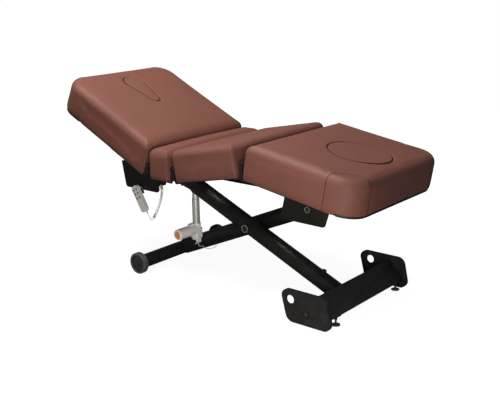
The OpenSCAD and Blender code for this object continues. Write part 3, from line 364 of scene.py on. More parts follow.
class Effects:
    """The shader groups that several finishes share."""

    def __init__(self) -> None:
        """Builds each group once."""
        self.grain = self._grain()
        self.mottle = self._mottle()
        self.scuff = self._scuff()
        self.dust = self._dust()
        self.seam = self._seam()

    @staticmethod
    def _grain() -> bpy.types.NodeTree:
        """Fine pebbles: smooth cells of about 1/Scale with a finer noise over them."""
        group, t, s, out = new_group("grain", {"Vector": (VECTOR, None), "Scale": (FLOAT, 600.0),
                                               "Cells": (FLOAT, 0.6)}, {"Height": FLOAT})
        cells = t.add("ShaderNodeTexVoronoi", {"Vector": s["Vector"], "Scale": s["Scale"]},
                      feature="SMOOTH_F1")
        fine = t.add("ShaderNodeTexNoise", {"Vector": s["Vector"],
                                            "Scale": t.maths("MULTIPLY", s["Scale"], 1.7),
                                            "Detail": 3.0})
        dome = t.maths("SUBTRACT", 1.0, cells.outputs["Distance"])
        mixed = t.add("ShaderNodeMix", {0: s["Cells"], 2: fine.outputs[0], 3: dome},
                      data_type="FLOAT")
        group.links.new(mixed.outputs[0], out.inputs["Height"])
        return group

    @staticmethod
    def _mottle() -> bpy.types.NodeTree:
        """Broad colour change: A and B mixed by a soft noise, Amount of it."""
        group, t, s, out = new_group(
            "mottle", {"Vector": (VECTOR, None), "Scale": (FLOAT, 4.0), "Amount": (FLOAT, 0.5),
                       "A": (COLOUR, None), "B": (COLOUR, None)},
            {"Colour": COLOUR, "Value": FLOAT})
        broad = t.add("ShaderNodeTexNoise", {"Vector": s["Vector"], "Scale": s["Scale"],
                                             "Detail": 4.0, "Roughness": 0.55})
        value = t.ramp(broad.outputs[0], 0.32, 0.68)
        group.links.new(t.mix(t.maths("MULTIPLY", value, s["Amount"]), s["A"], s["B"]),
                        out.inputs["Colour"])
        group.links.new(value, out.inputs["Value"])
        return group

    @staticmethod
    def _scuff() -> bpy.types.NodeTree:
        """Thin rubbed streaks: a stretched noise kept above a level."""
        group, t, s, out = new_group(
            "scuff", {"Vector": (VECTOR, None), "Stretch": (VECTOR, (1, 1, 1)),
                      "Scale": (FLOAT, 60.0)}, {"Mask": FLOAT, "Streak": FLOAT})
        along = t.add("ShaderNodeVectorMath", {0: s["Vector"], 1: s["Stretch"]},
                      operation="MULTIPLY")
        fine = t.add("ShaderNodeTexNoise", {"Vector": along.outputs[0], "Scale": s["Scale"],
                                            "Detail": 5.0, "Roughness": 0.7})
        group.links.new(t.ramp(fine.outputs[0], 0.62, 0.74), out.inputs["Mask"])
        group.links.new(fine.outputs[0], out.inputs["Streak"])
        return group

    @staticmethod
    def _dust() -> bpy.types.NodeTree:
        """Dust on upward faces and near the floor: Normal Z and height, broken by a noise."""
        group, t, s, out = new_group("dust", {"Vector": (VECTOR, None), "Reach": (FLOAT, 0.25)},
                                     {"Mask": FLOAT})
        facing = t.add("ShaderNodeSeparateXYZ", {0: t.add("ShaderNodeNewGeometry").outputs["Normal"]})
        height = t.add("ShaderNodeSeparateXYZ", {0: s["Vector"]})
        low = t.maths("SUBTRACT", 1.0, t.maths("DIVIDE", height.outputs[2], s["Reach"], clamp=True))
        up = t.ramp(facing.outputs[2], 0.2, 1.0)
        patchy = t.ramp(t.noise(s["Vector"], 22.0, 5.0, 0.6), 0.35, 0.75)
        group.links.new(t.maths("MULTIPLY", t.maths("MAXIMUM", t.maths("MULTIPLY", up, 0.6), low),
                                patchy), out.inputs["Mask"])
        return group

    @staticmethod
    def _seam() -> bpy.types.NodeTree:
        """A sewn line's mask, for its groove and its painted shade: 1 where the piece's seam distance
        is 0, gone at Width.
        """
        group, t, s, out = new_group("seam", {"Width": (FLOAT, 0.0015)}, {"Line": FLOAT})
        far = t.maths("ABSOLUTE", t.add("ShaderNodeAttribute", attribute_name="seam").outputs["Fac"])
        group.links.new(t.ramp(t.maths("DIVIDE", far, s["Width"]), 0.25, 1.0, 1.0, 0.0),
                        out.inputs["Line"])
        return group


Colour = tuple[float, float, float, float]


def rgb(red: float, green: float, blue: float) -> Colour:
    """A linear colour from its 0 to 255 screen values.

    Args:
        red: screen red.
        green: screen green.
        blue: screen blue.

    Returns:
        The linear colour, opaque.
    """
    c = np.array([red, green, blue]) / 255.0
    lin = np.where(c <= 0.04045, c / 12.92, ((c + 0.055) / 1.055) ** 2.4)
    return (float(lin[0]), float(lin[1]), float(lin[2]), 1.0)


@dataclass(frozen=True)
class Finish:
    """A plain finish: two close colours, fine grain, rubbed streaks and dust."""

    name: str
    colour: Colour
    second: Colour
    rough: float = 0.5
    rough_change: float = 0.1
    metal: float = 0.0
    coat: float = 0.0
    specular: float = 0.5
    mottle_scale: float = 6.0
    mottle: float = 0.6
    grain_scale: float = 900.0
    grain_depth: float = 0.00005
    cells: float = 0.4
    scuff: float = 0.0
    scuff_colour: Colour = (0.2, 0.2, 0.2, 1.0)
    stretch: tuple[float, float, float] = (1.0, 1.0, 1.0)
    scuff_scale: float = 60.0
    dust: float = 0.0
    dust_colour: Colour = (0.3, 0.28, 0.26, 1.0)

    def start(self) -> tuple[bpy.types.Material, Tree, bpy.types.Node, Socket]:
        """The material with its shader and Object coordinates.

        Returns:
            Material, tree, Principled shader and coordinates.
        """
        material = bpy.data.materials.new(self.name)
        material.use_nodes = True
        material.node_tree.nodes.clear()
        t = Tree(material.node_tree)
        shader = t.add("ShaderNodeBsdfPrincipled", {"Coat Weight": self.coat,
                                                    "Specular IOR Level": self.specular,
                                                    "Metallic": self.metal})
        t.add("ShaderNodeOutputMaterial", {0: shader.outputs[0]})
        material.diffuse_color = self.colour
        return material, t, shader, t.add("ShaderNodeTexCoord").outputs["Object"]

    def material(self, effects: Effects) -> bpy.types.Material:
        """The finish as a material.

        Args:
            effects: the shared groups.

        Returns:
            The material.
        """
        material, t, shader, place = self.start()
        broad = t.add("ShaderNodeGroup", node_tree=effects.mottle)
        self._fill(t, broad, place, {"Scale": self.mottle_scale, "Amount": self.mottle,
                                     "A": self.colour, "B": self.second})
        colour = broad.outputs["Colour"]
        rough = t.ramp(broad.outputs["Value"], 0.0, 1.0, self.rough - self.rough_change,
                       self.rough + self.rough_change)
        if self.scuff > 0:
            worn = t.add("ShaderNodeGroup", node_tree=effects.scuff)
            self._fill(t, worn, place, {"Stretch": self.stretch, "Scale": self.scuff_scale})
            colour = t.mix(t.maths("MULTIPLY", worn.outputs["Mask"], self.scuff), colour,
                           self.scuff_colour)
            rough = t.maths("ADD", rough, t.ramp(worn.outputs["Streak"], 0.3, 0.7,
                                                 -self.rough_change, self.rough_change))
        if self.dust > 0:
            dusty = t.add("ShaderNodeGroup", node_tree=effects.dust)
            self._fill(t, dusty, place, {})
            share = t.maths("MULTIPLY", dusty.outputs["Mask"], self.dust)
            colour = t.mix(share, colour, self.dust_colour)
            rough = t.maths("ADD", rough, t.maths("MULTIPLY", share, 0.3), clamp=True)
        grain = t.add("ShaderNodeGroup", node_tree=effects.grain)
        self._fill(t, grain, place, {"Scale": self.grain_scale, "Cells": self.cells})
        bump = t.add("ShaderNodeBump", {"Height": grain.outputs["Height"], "Strength": 1.0,
                                        "Distance": self.grain_depth})
        t.tree.links.new(colour, shader.inputs["Base Color"])
        t.tree.links.new(rough, shader.inputs["Roughness"])
        t.tree.links.new(bump.outputs[0], shader.inputs["Normal"])
        return material

    @staticmethod
    def _fill(t: Tree, node: bpy.types.Node, place: Socket, values: dict[str, object]) -> None:
        """Sets a group node's coordinates and values.

        Args:
            t: the tree that holds it.
            node: the group node.
            place: the coordinates.
            values: a value for each named input.
        """
        t.tree.links.new(place, node.inputs["Vector"])
        for label, value in values.items():
            node.inputs[label].default_value = value


@dataclass(frozen=True)
class Leatherette(Finish):
    """Smooth upholstery cloth with a fine pebble, soft broad sheen and sewn lines, whose grooves and
    the gap round a plug get a painted near-black shade.
    """

    # Painted shade: line is the near-black colour laid in the seams' grooves and in the gap round a
    # plug.
    line: Colour = (0.02, 0.01, 0.008, 1.0)
    line_width: float = 0.0034
    groove_shade_strength: float = 0.8
    line_depth: float = 0.0012
    fold_scale: float = 9.0
    fold_depth: float = 0.0022
    pit_shade: tuple[float, float] = (0.86, 1.04)
    sheen: float = 0.03
    sheen_rough: float = 0.45
    sheen_tint: Colour = (1.0, 0.82, 0.72, 1.0)

    def material(self, effects: Effects) -> bpy.types.Material:
        """The finish as a material.

        Args:
            effects: the shared groups.

        Returns:
            The material.
        """
        material, t, shader, place = self.start()
        shader.inputs["Sheen Weight"].default_value = self.sheen
        shader.inputs["Sheen Roughness"].default_value = self.sheen_rough
        shader.inputs["Sheen Tint"].default_value = self.sheen_tint
        broad = t.add("ShaderNodeGroup", node_tree=effects.mottle)
        self._fill(t, broad, place, {"Scale": self.mottle_scale, "Amount": self.mottle,
                                     "A": self.colour, "B": self.second})
        grain = t.add("ShaderNodeGroup", node_tree=effects.grain)
        self._fill(t, grain, place, {"Scale": self.grain_scale, "Cells": self.cells})
        seam = t.add("ShaderNodeGroup", {"Width": self.line_width}, node_tree=effects.seam)
        worn = t.add("ShaderNodeGroup", node_tree=effects.scuff)
        self._fill(t, worn, place, {"Scale": self.scuff_scale})
        # Painted shade: the grain's pits are darkened and its pebbles' tops lightened a little.
        pits = t.ramp(grain.outputs["Height"], 0.35, 0.8, *self.pit_shade)
        shade = t.add("ShaderNodeMix", {0: 1.0}, data_type="RGBA", blend_type="MULTIPLY")
        t.tree.links.new(broad.outputs["Colour"], shade.inputs[6])
        t.tree.links.new(pits, shade.inputs[7])
        colour = t.mix(t.maths("MULTIPLY", worn.outputs["Mask"], self.scuff), shade.outputs[2],
                       self.scuff_colour)
        # Painted shade: the seam mask darkens the seams' grooves and the gap round a plug towards
        # line.
        colour = t.mix(t.maths("MULTIPLY", seam.outputs["Line"], self.groove_shade_strength), colour,
                       self.line)
        rough = t.ramp(broad.outputs["Value"], 0.0, 1.0, self.rough - self.rough_change,
                       self.rough + self.rough_change)
        folds = t.noise(place, self.fold_scale, detail=3.0, rough=0.5, warp=0.6)
        soft = t.add("ShaderNodeBump", {"Height": folds, "Strength": 1.0,
                                        "Distance": self.fold_depth})
        sewn = t.add("ShaderNodeBump", {"Height": t.maths("SUBTRACT", 1.0, seam.outputs["Line"]),
                                        "Strength": 1.0, "Distance": self.line_depth,
                                        "Normal": soft.outputs[0]})
        fine = t.add("ShaderNodeBump", {"Height": grain.outputs["Height"], "Strength": 1.0,
                                        "Distance": self.grain_depth,
                                        "Normal": sewn.outputs[0]})
        t.tree.links.new(colour, shader.inputs["Base Color"])
        t.tree.links.new(rough, shader.inputs["Roughness"])
        t.tree.links.new(fine.outputs[0], shader.inputs["Normal"])
        return material


class Coat(Enum):
    """The table's finishes."""

    LEATHER = Leatherette("leatherette", rgb(113, 70, 58), rgb(104, 62, 52), rough=0.63,
                          rough_change=0.05, specular=0.27, mottle_scale=3.0,
                          grain_scale=520.0, grain_depth=0.00007, cells=0.75, scuff=0.08,
                          scuff_colour=rgb(128, 82, 70), scuff_scale=30.0)
    POWDER = Finish("powder_coat", rgb(24, 23, 22), rgb(30, 29, 28), rough=0.44,
                    rough_change=0.06, coat=0.04, specular=0.3, grain_scale=1100.0,
                    grain_depth=0.00004, cells=0.2, scuff=0.25, scuff_colour=rgb(46, 44, 42),
                    scuff_scale=45.0, dust=0.05)
    STEEL = Finish("brushed_steel", rgb(228, 226, 223), rgb(214, 212, 210), rough=0.3,
                   rough_change=0.05, metal=0.55, mottle=0.5, grain_scale=1500.0,
                   grain_depth=0.000015, scuff=0.2, scuff_colour=rgb(160, 158, 156),
                   stretch=(40.0, 40.0, 1.5), scuff_scale=8.0)
    ZINC = Finish("zinc_plate", rgb(222, 221, 218), rgb(198, 198, 194), rough=0.34,
                  rough_change=0.08, metal=0.6, mottle_scale=60.0, grain_scale=1300.0,
                  grain_depth=0.00002, scuff=0.25, scuff_colour=rgb(120, 119, 116))
    BOLT = Finish("blackened_bolt", rgb(52, 51, 49), rgb(40, 39, 38), rough=0.34,
                  rough_change=0.06, metal=0.35, grain_scale=1300.0, grain_depth=0.00002,
                  scuff=0.3, scuff_colour=rgb(120, 118, 114), scuff_scale=90.0)
    BLACK_PLASTIC = Finish("black_plastic", rgb(30, 30, 30), rgb(36, 35, 35), rough=0.5,
                           grain_scale=1800.0, grain_depth=0.00006, cells=0.8, scuff=0.15,
                           scuff_colour=rgb(80, 79, 78), dust=0.12)
    PALE_PLASTIC = Finish("pale_plastic", rgb(252, 248, 243), rgb(248, 243, 237), rough=0.42,
                          rough_change=0.05, grain_scale=1500.0, grain_depth=0.00004, cells=0.7,
                          scuff=0.1, scuff_colour=rgb(196, 190, 184), dust=0.03)
    ORANGE = Finish("orange_disc", rgb(250, 156, 82), rgb(246, 148, 74), rough=0.3,
                    rough_change=0.04, coat=0.3, grain_depth=0.00001, scuff=0.1,
                    scuff_colour=rgb(240, 165, 100))
    KEY = Finish("key_rubber", rgb(40, 40, 42), rgb(34, 34, 36), rough=0.6, grain_scale=2400.0,
                 grain_depth=0.00003, cells=0.8, scuff=0.2, scuff_colour=rgb(60, 60, 62))
    RUBBER = Finish("foot_rubber", rgb(30, 29, 28), rgb(38, 37, 36), rough=0.75,
                    grain_scale=1500.0, grain_depth=0.00006, scuff=0.2,
                    scuff_colour=rgb(80, 78, 75), dust=0.3)
    TYRE = Finish("grey_tyre", rgb(68, 68, 68), rgb(58, 58, 58), rough=0.7, grain_scale=900.0,
                  grain_depth=0.00008, scuff=0.3, scuff_colour=rgb(120, 118, 115), dust=0.25)
    ROLLER = Finish("roller_plastic", rgb(40, 39, 38), rgb(32, 31, 30), rough=0.45,
                    grain_depth=0.00004, scuff=0.3, scuff_colour=rgb(82, 80, 77))
    BOARD = Finish("black_board", rgb(24, 22, 20), rgb(19, 17, 16), rough=0.6, specular=0.3,
                   mottle_scale=14.0, grain_scale=700.0, grain_depth=0.00008, cells=0.1,
                   scuff=0.3, scuff_colour=rgb(60, 52, 46), stretch=(1.0, 12.0, 1.0))
    CORD = Finish("cord_sheath", rgb(222, 217, 210), rgb(212, 206, 199), rough=0.38,
                  rough_change=0.05, coat=0.15, grain_scale=1400.0, grain_depth=0.00003,
                  mottle_scale=30.0, scuff=0.1, scuff_colour=rgb(160, 155, 148))


class Paint:
    """Makes each finish's material once and puts it on pieces and solids."""

    SLOTS = {Coat.LEATHER: "upholstery", Coat.POWDER: "powder_coat", Coat.STEEL: "steel",
             Coat.ZINC: "steel", Coat.BOLT: "steel", Coat.BLACK_PLASTIC: "black_plastic",
             Coat.PALE_PLASTIC: "pale_plastic", Coat.ORANGE: "orange", Coat.KEY: "key_plastic",
             Coat.RUBBER: "foot_rubber", Coat.TYRE: "tread", Coat.ROLLER: "roller_plastic",
             Coat.BOARD: "board", Coat.CORD: "cord"}

    def __init__(self) -> None:
        """Builds the shared groups."""
        self.effects = Effects()
        self.made: dict[Coat, bpy.types.Material] = {}

    def of(self, coat: Coat) -> bpy.types.Material:
        """The material of a finish.

        Args:
            coat: the finish.

        Returns:
            Its material.
        """
        if coat not in self.made:
            self.made[coat] = coat.value.material(self.effects)
        return self.made[coat]

    def solid(self, coat: Coat, *nodes: str) -> None:
        """Puts a finish on solids that stay as they are.

        Args:
            coat: the finish.
            *nodes: the solids' names.
        """
        for name in nodes:
            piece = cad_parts[name]
            piece.data.materials.clear()
            piece.data.materials.append(self.of(coat))

    def piece(self, piece: Object, coat: Coat, body: str) -> Object:
        """Puts a finish on a new piece and lets it ride on a body.

        Args:
            piece: the new piece.
            coat: its finish.
            body: the body that carries it.

        Returns:
            The piece.
        """
        piece.data.materials.clear()
        piece.data.materials.append(self.of(coat))
        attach(piece, body)
        LOG.info("%s rides on %s", piece.name, body)
        return piece


# Camera and cords

@dataclass
class Studio:
    """Camera, pale floor and soft lamps."""

    eye: tuple[float, float, float] = (2.878080, -3.365310, 1.656138)
    yaw: float = 39.791
    pitch: float = 15.540
    roll: float = -1.0277
    lens: float = 61.11
    sensor: float = 36.0
    clip: float = 60.0
    floor: float = 24.0
    floor_cells: int = 8
    floor_drop: float = 0.0002
    glow_from: float = 0.5
    glow_to: float = 1.5
    glow_near: float = 0.93
    ambient: float = 0.10

    def camera(self) -> None:
        """The photograph's view: axes right, up and back from yaw, pitch and roll."""
        y, p, r = (math.radians(a) for a in (self.yaw, self.pitch, self.roll))
        ahead = np.array([-math.sin(y) * math.cos(p), math.cos(y) * math.cos(p), -math.sin(p)])
        side = np.array([math.cos(y), math.sin(y), 0.0])
        top = np.cross(side, ahead)
        right = math.cos(r) * side + math.sin(r) * top
        up = -math.sin(r) * side + math.cos(r) * top
        data = bpy.data.cameras.new("camera")
        data.lens = self.lens
        data.sensor_width = self.sensor
        data.clip_end = self.clip
        camera = bpy.data.objects.new("camera", data)
        camera.matrix_world = Matrix(np.block([[np.stack([right, up, -ahead], 1),
                                                np.array(self.eye)[:, None]],
                                               [np.zeros((1, 3)), np.ones((1, 1))]]).tolist())
        bpy.context.scene.collection.objects.link(camera)
        bpy.context.scene.camera = camera

    def stage(self) -> None:
        """Floor, world and view settings."""
        self.ground()
        self.sky()
        bpy.context.scene.view_settings.view_transform = "Standard"

    @staticmethod
    def seen(t: Tree) -> Socket:
        """1 for the camera's own rays and for those that pass through a clear surface."""
        rays = t.add("ShaderNodeLightPath")
        return t.maths("MAXIMUM", rays.outputs["Is Camera Ray"],
                       rays.outputs["Is Transmission Ray"])

    def ground(self) -> None:
        """A grey floor that is seen as white, and keeps the table's soft shadow."""
        n = self.floor_cells + 1
        x, y = np.meshgrid(np.linspace(-self.floor, self.floor, n),
                           np.linspace(-self.floor, self.floor, n), indexing="ij")
        floor = as_mesh("floor", [(np.stack([x, y, 0 * x - self.floor_drop], -1),
                                   grid_faces(n, n, False, False)[:, ::-1])])
        material = bpy.data.materials.new("pale_floor")
        material.use_nodes = True
        material.node_tree.nodes.clear()
        t = Tree(material.node_tree)
        cloud = t.noise(t.add("ShaderNodeTexCoord").outputs["Object"], 3.0, 3.0)
        body = t.add("ShaderNodeBsdfPrincipled",
                     {"Base Color": t.mix(t.ramp(cloud, 0.3, 0.7), rgb(112, 111, 110),
                                          rgb(118, 117, 116)), "Roughness": 0.85,
                      "Specular IOR Level": 0.1})
        away = t.add("ShaderNodeVectorMath", {0: t.add("ShaderNodeTexCoord").outputs["Object"]},
                     operation="LENGTH")
        glow = t.add("ShaderNodeEmission", {
            "Color": (1.0, 1.0, 1.0, 1.0),
            "Strength": t.ramp(away.outputs["Value"], self.glow_from, self.glow_to,
                               self.glow_near, 1.0)})
        both = t.add("ShaderNodeAddShader", {0: body.outputs[0], 1: glow.outputs[0]})
        mixed = t.add("ShaderNodeMixShader", {0: self.seen(t), 1: body.outputs[0],
                                              2: both.outputs[0]})
        t.add("ShaderNodeOutputMaterial", {0: mixed.outputs[0]})
        floor.data.materials.append(material)

    def sky(self) -> None:
        """A weak even light all round, seen as white."""
        world = bpy.data.worlds.new("studio")
        world.use_nodes = True
        world.node_tree.nodes.clear()
        t = Tree(world.node_tree)
        dim = t.add("ShaderNodeBackground", {"Color": (0.97, 0.98, 1.0, 1.0),
                                             "Strength": self.ambient})
        white = t.add("ShaderNodeBackground", {"Color": (1.0, 1.0, 1.0, 1.0), "Strength": 1.0})
        mixed = t.add("ShaderNodeMixShader", {0: self.seen(t), 1: dim.outputs[0],
                                              2: white.outputs[0]})
        t.add("ShaderNodeOutputWorld", {0: mixed.outputs[0]})
        bpy.context.scene.world = world

    @staticmethod
    def lamp(name: str, at: tuple[float, float, float], to: tuple[float, float, float],
             size: tuple[float, float], power: float, tint: tuple[float, float, float]) -> None:
        """A rectangular soft lamp.

        Args:
            name: its name.
            at: its middle.
            to: the point that it faces.
            size: width and height.
            power: watts.
            tint: its colour.
        """
        data = bpy.data.lights.new(name, "AREA")
        data.shape = "RECTANGLE"
        data.size, data.size_y = size
        data.energy = power
        data.color = tint
        lamp = bpy.data.objects.new(name, data)
        lamp.visible_camera = False
        away = np.array(at) - np.array(to)
        away /= np.linalg.norm(away)
        side = np.cross([0.0, 0.0, 1.0] if abs(away[2]) < 0.98 else [0.0, 1.0, 0.0], away)
        side /= np.linalg.norm(side)
        lamp.matrix_world = Matrix(np.block([[np.stack([side, np.cross(away, side), away], 1),
                                              np.array(at)[:, None]],
                                             [np.zeros((1, 3)), np.ones((1, 1))]]).tolist())
        bpy.context.scene.collection.objects.link(lamp)

    def lamps(self) -> None:
        """A large lamp above the head end, a low one in front and a weak one at the foot end."""
        self.lamp("over_head", (-0.5, -0.8, 3.3), (-0.1, -0.05, 0.7), (1.8, 1.8), 134.0,
                  (1.0, 0.985, 0.96))
        self.lamp("front_fill", (1.35, -1.7, 0.5), (0.2, -0.2, 0.5), (0.9, 0.6), 24.0,
                  (1.0, 0.98, 0.96))
        self.lamp("foot_side", (3.8, 1.6, 2.4), (0.4, 0.0, 0.5), (2.0, 2.0), 12.0,
                  (0.97, 0.985, 1.0))


@dataclass
class Cords:
    """The handset's partly curled cord and the drive's short lead, on their solids' routes."""

    radius: float = 0.0018
    curls: int = 28
    curl_radius: float = 0.009
    steps: int = 24
    path_steps: int = 6
    hang: Place = Place(*HANDSET_HOOK, -31.1)
    arm: Place = Place(*PIVOT, -ARM_LEAN, y=0.05)
    tip: tuple[float, float, float] = (0.0074, -0.147, -0.177)
    route: tuple[tuple[float, float, float], ...] = (
        (0, 0, 0), (0, 0, -0.005), (0, 0, -0.014), (0.001, -0.001, -0.024),
        (0.003, -0.002, -0.034), (0.007, -0.003, -0.043), (0.013, -0.003, -0.048),
        (0.020, -0.003, -0.048), (0.026, -0.003, -0.0456))
    curl_from: tuple[float, float, float] = (-0.523087, -0.150, 0.262154)
    curl_to: tuple[float, float, float] = (-0.512666, -0.095, 0.449507)
    push: float = 0.072
    pull: float = 0.052
    plain_share: float = 0.022
    grow_share: float = 0.03
    lead: tuple[tuple[float, float, float], ...] = (
        (-0.46475, -0.062, -0.00295), (-0.467, -0.062, -0.008), (-0.466, -0.062, -0.018),
        (-0.460, -0.062, -0.025), (-0.450, -0.062, -0.026), (-0.440, -0.061, -0.027),
        (-0.432, -0.059, -0.036), (-0.426, -0.052, -0.047), (-0.417, -0.042, -0.053),
        (-0.406, -0.024, -0.057), (-0.398, -0.008, -0.055), (-0.396, 0.0, -0.050),
        (-0.396, 0.0, -0.0453))

    def handset_path(self) -> Array:
        """Plain run, then the curl about a Bezier line: B(t) + R(t) (cos a u + sin a v)."""
        plain = smooth_path(self.hang.put(np.array(self.route) + np.array(self.tip)),
                            self.path_steps)
        a, d = np.array(self.curl_from), np.array(self.curl_to)
        last = self.hang.put(np.array(self.route[-2:]) + np.array(self.tip))
        way = a - last[0]
        b = a + self.push * way / np.linalg.norm(way)
        c = d + np.array([self.pull, 0.0, 0.0])
        t = np.linspace(0.0, 1.0, self.curls * self.steps + 1)[:, None]
        line = (1 - t) ** 3 * a + 3 * (1 - t) ** 2 * t * b + 3 * (1 - t) * t ** 2 * c + t ** 3 * d
        along = np.gradient(line, axis=0)
        along /= np.linalg.norm(along, axis=1, keepdims=True)
        u = np.cross([0.0, 1.0, 0.0], along)
        u /= np.linalg.norm(u, axis=1, keepdims=True)
        v = np.cross(along, u)
        grown = np.clip((np.minimum(t, 1 - t) - self.plain_share) / self.grow_share, 0.0, 1.0)
        swing = (self.curl_radius - self.radius) * grown ** 2 * (3 - 2 * grown)
        angle = 2 * np.pi * self.curls * t
        curl = line + swing * (np.cos(angle) * u + np.sin(angle) * v)
        return np.concatenate([plain[:-1], curl])

    def cord(self, name: str, path: Array, paint: Paint, body: str, exit_at: Array,
             lay: str, nodes: Sequence[str]) -> Object:
        """A round cord on the path.

        Args:
            name: the piece's name.
            path: points of its middle line.
            paint: the finishes.
            body: the body that carries it.
            exit_at: where it leaves its housing; not used.
            lay: how it lies; not used.
            nodes: the solids that it stands for.

        Returns:
            The cord.
        """
        data = bpy.data.curves.new(name, "CURVE")
        data.dimensions = "3D"
        data.bevel_depth = self.radius
        data.bevel_resolution = 3
        data.use_fill_caps = True
        data.resolution_u = 1
        spline = data.splines.new("POLY")
        spline.points.add(len(path) - 1)
        spline.points.foreach_set("co", np.c_[path, np.ones(len(path))].ravel())
        piece = bpy.data.objects.new(name, data)
        bpy.context.scene.collection.objects.link(piece)
        paint.piece(piece, Coat.CORD, body)
        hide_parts(*nodes)
        return piece

    def build(self, paint: Paint) -> None:
        """Both cords.

        Args:
            paint: the finishes.
        """
        path = self.handset_path()
        self.cord("handset_cord", path, paint, "table_frame", path[0], "hanging",
                  ("handset_lead", "handset_curl"))
        lead = smooth_path(self.arm.put(np.array(self.lead)), self.path_steps)
        self.cord("drive_lead", lead, paint, "wheel_arm", lead[0], "loose", ("motor_lead",))


# Padding

class Opening(Enum):
    """The shape of the opening in a section's padding."""

    NONE = 0
    TEAR = 1
    OVAL = 2


@dataclass(frozen=True)
class Hole:
    """The outline of an opening and its plug in a section's own axes."""

    kind: Opening = Opening.NONE
    far: float = 0.586
    near: float = 0.403
    far_r: float = 0.066
    near_r: float = 0.032
    middle: float = 0.416
    half_long: float = 0.164
    half_wide: float = 0.141
    ray_shift: float = 0.025

    def centre(self) -> Array:
        """The middle of the opening."""
        return np.array([0.5 * (self.far + self.near) + self.ray_shift
                         if self.kind is Opening.TEAR else self.middle, 0.0])

    def outline(self, angle: Array, inset: Array) -> Array:
        """Where rays from the middle meet the outline set in by inset.

        The oval's ray length is 1 / |(cos / a, sin / b)|. The teardrop's is the hull of two
        circles: the longest of its two circles' and its straight side's crossings.

        Args:
            angle: direction of each ray.
            inset: how far the outline is set in.

        Returns:
            Points u, v.
        """
        c, s = np.cos(angle), np.sin(angle)
        if self.kind is Opening.OVAL:
            r = 1.0 / np.hypot(c / (self.half_long - inset), s / (self.half_wide - inset))
        else:
            mid = self.centre()[0]
            big, small = self.far_r - inset, self.near_r - inset
            tilt = np.arccos((self.near_r - self.far_r) / (self.far - self.near))
            side = (big + (self.far - mid) * np.cos(tilt)) / np.maximum(
                c * np.cos(tilt) + np.abs(s) * np.sin(tilt), 1e-3)

            def circle(at: float, radius: Array) -> tuple[Array, Array]:
                """Ray length to a circle on the axis, and the angle seen from its middle."""
                d = at - mid
                root = np.sqrt(np.maximum(radius ** 2 - (d * s) ** 2, 0.0))
                length = d * c + root
                return length, np.arctan2(np.abs(length * s), length * c - d)

            far_ray, far_seen = circle(self.far, big)
            near_ray, near_seen = circle(self.near, small)
            r = np.where(far_seen <= tilt, far_ray, np.where(near_seen >= tilt, near_ray, side))
        return np.stack([self.centre()[0] + r * c, r * s], -1)


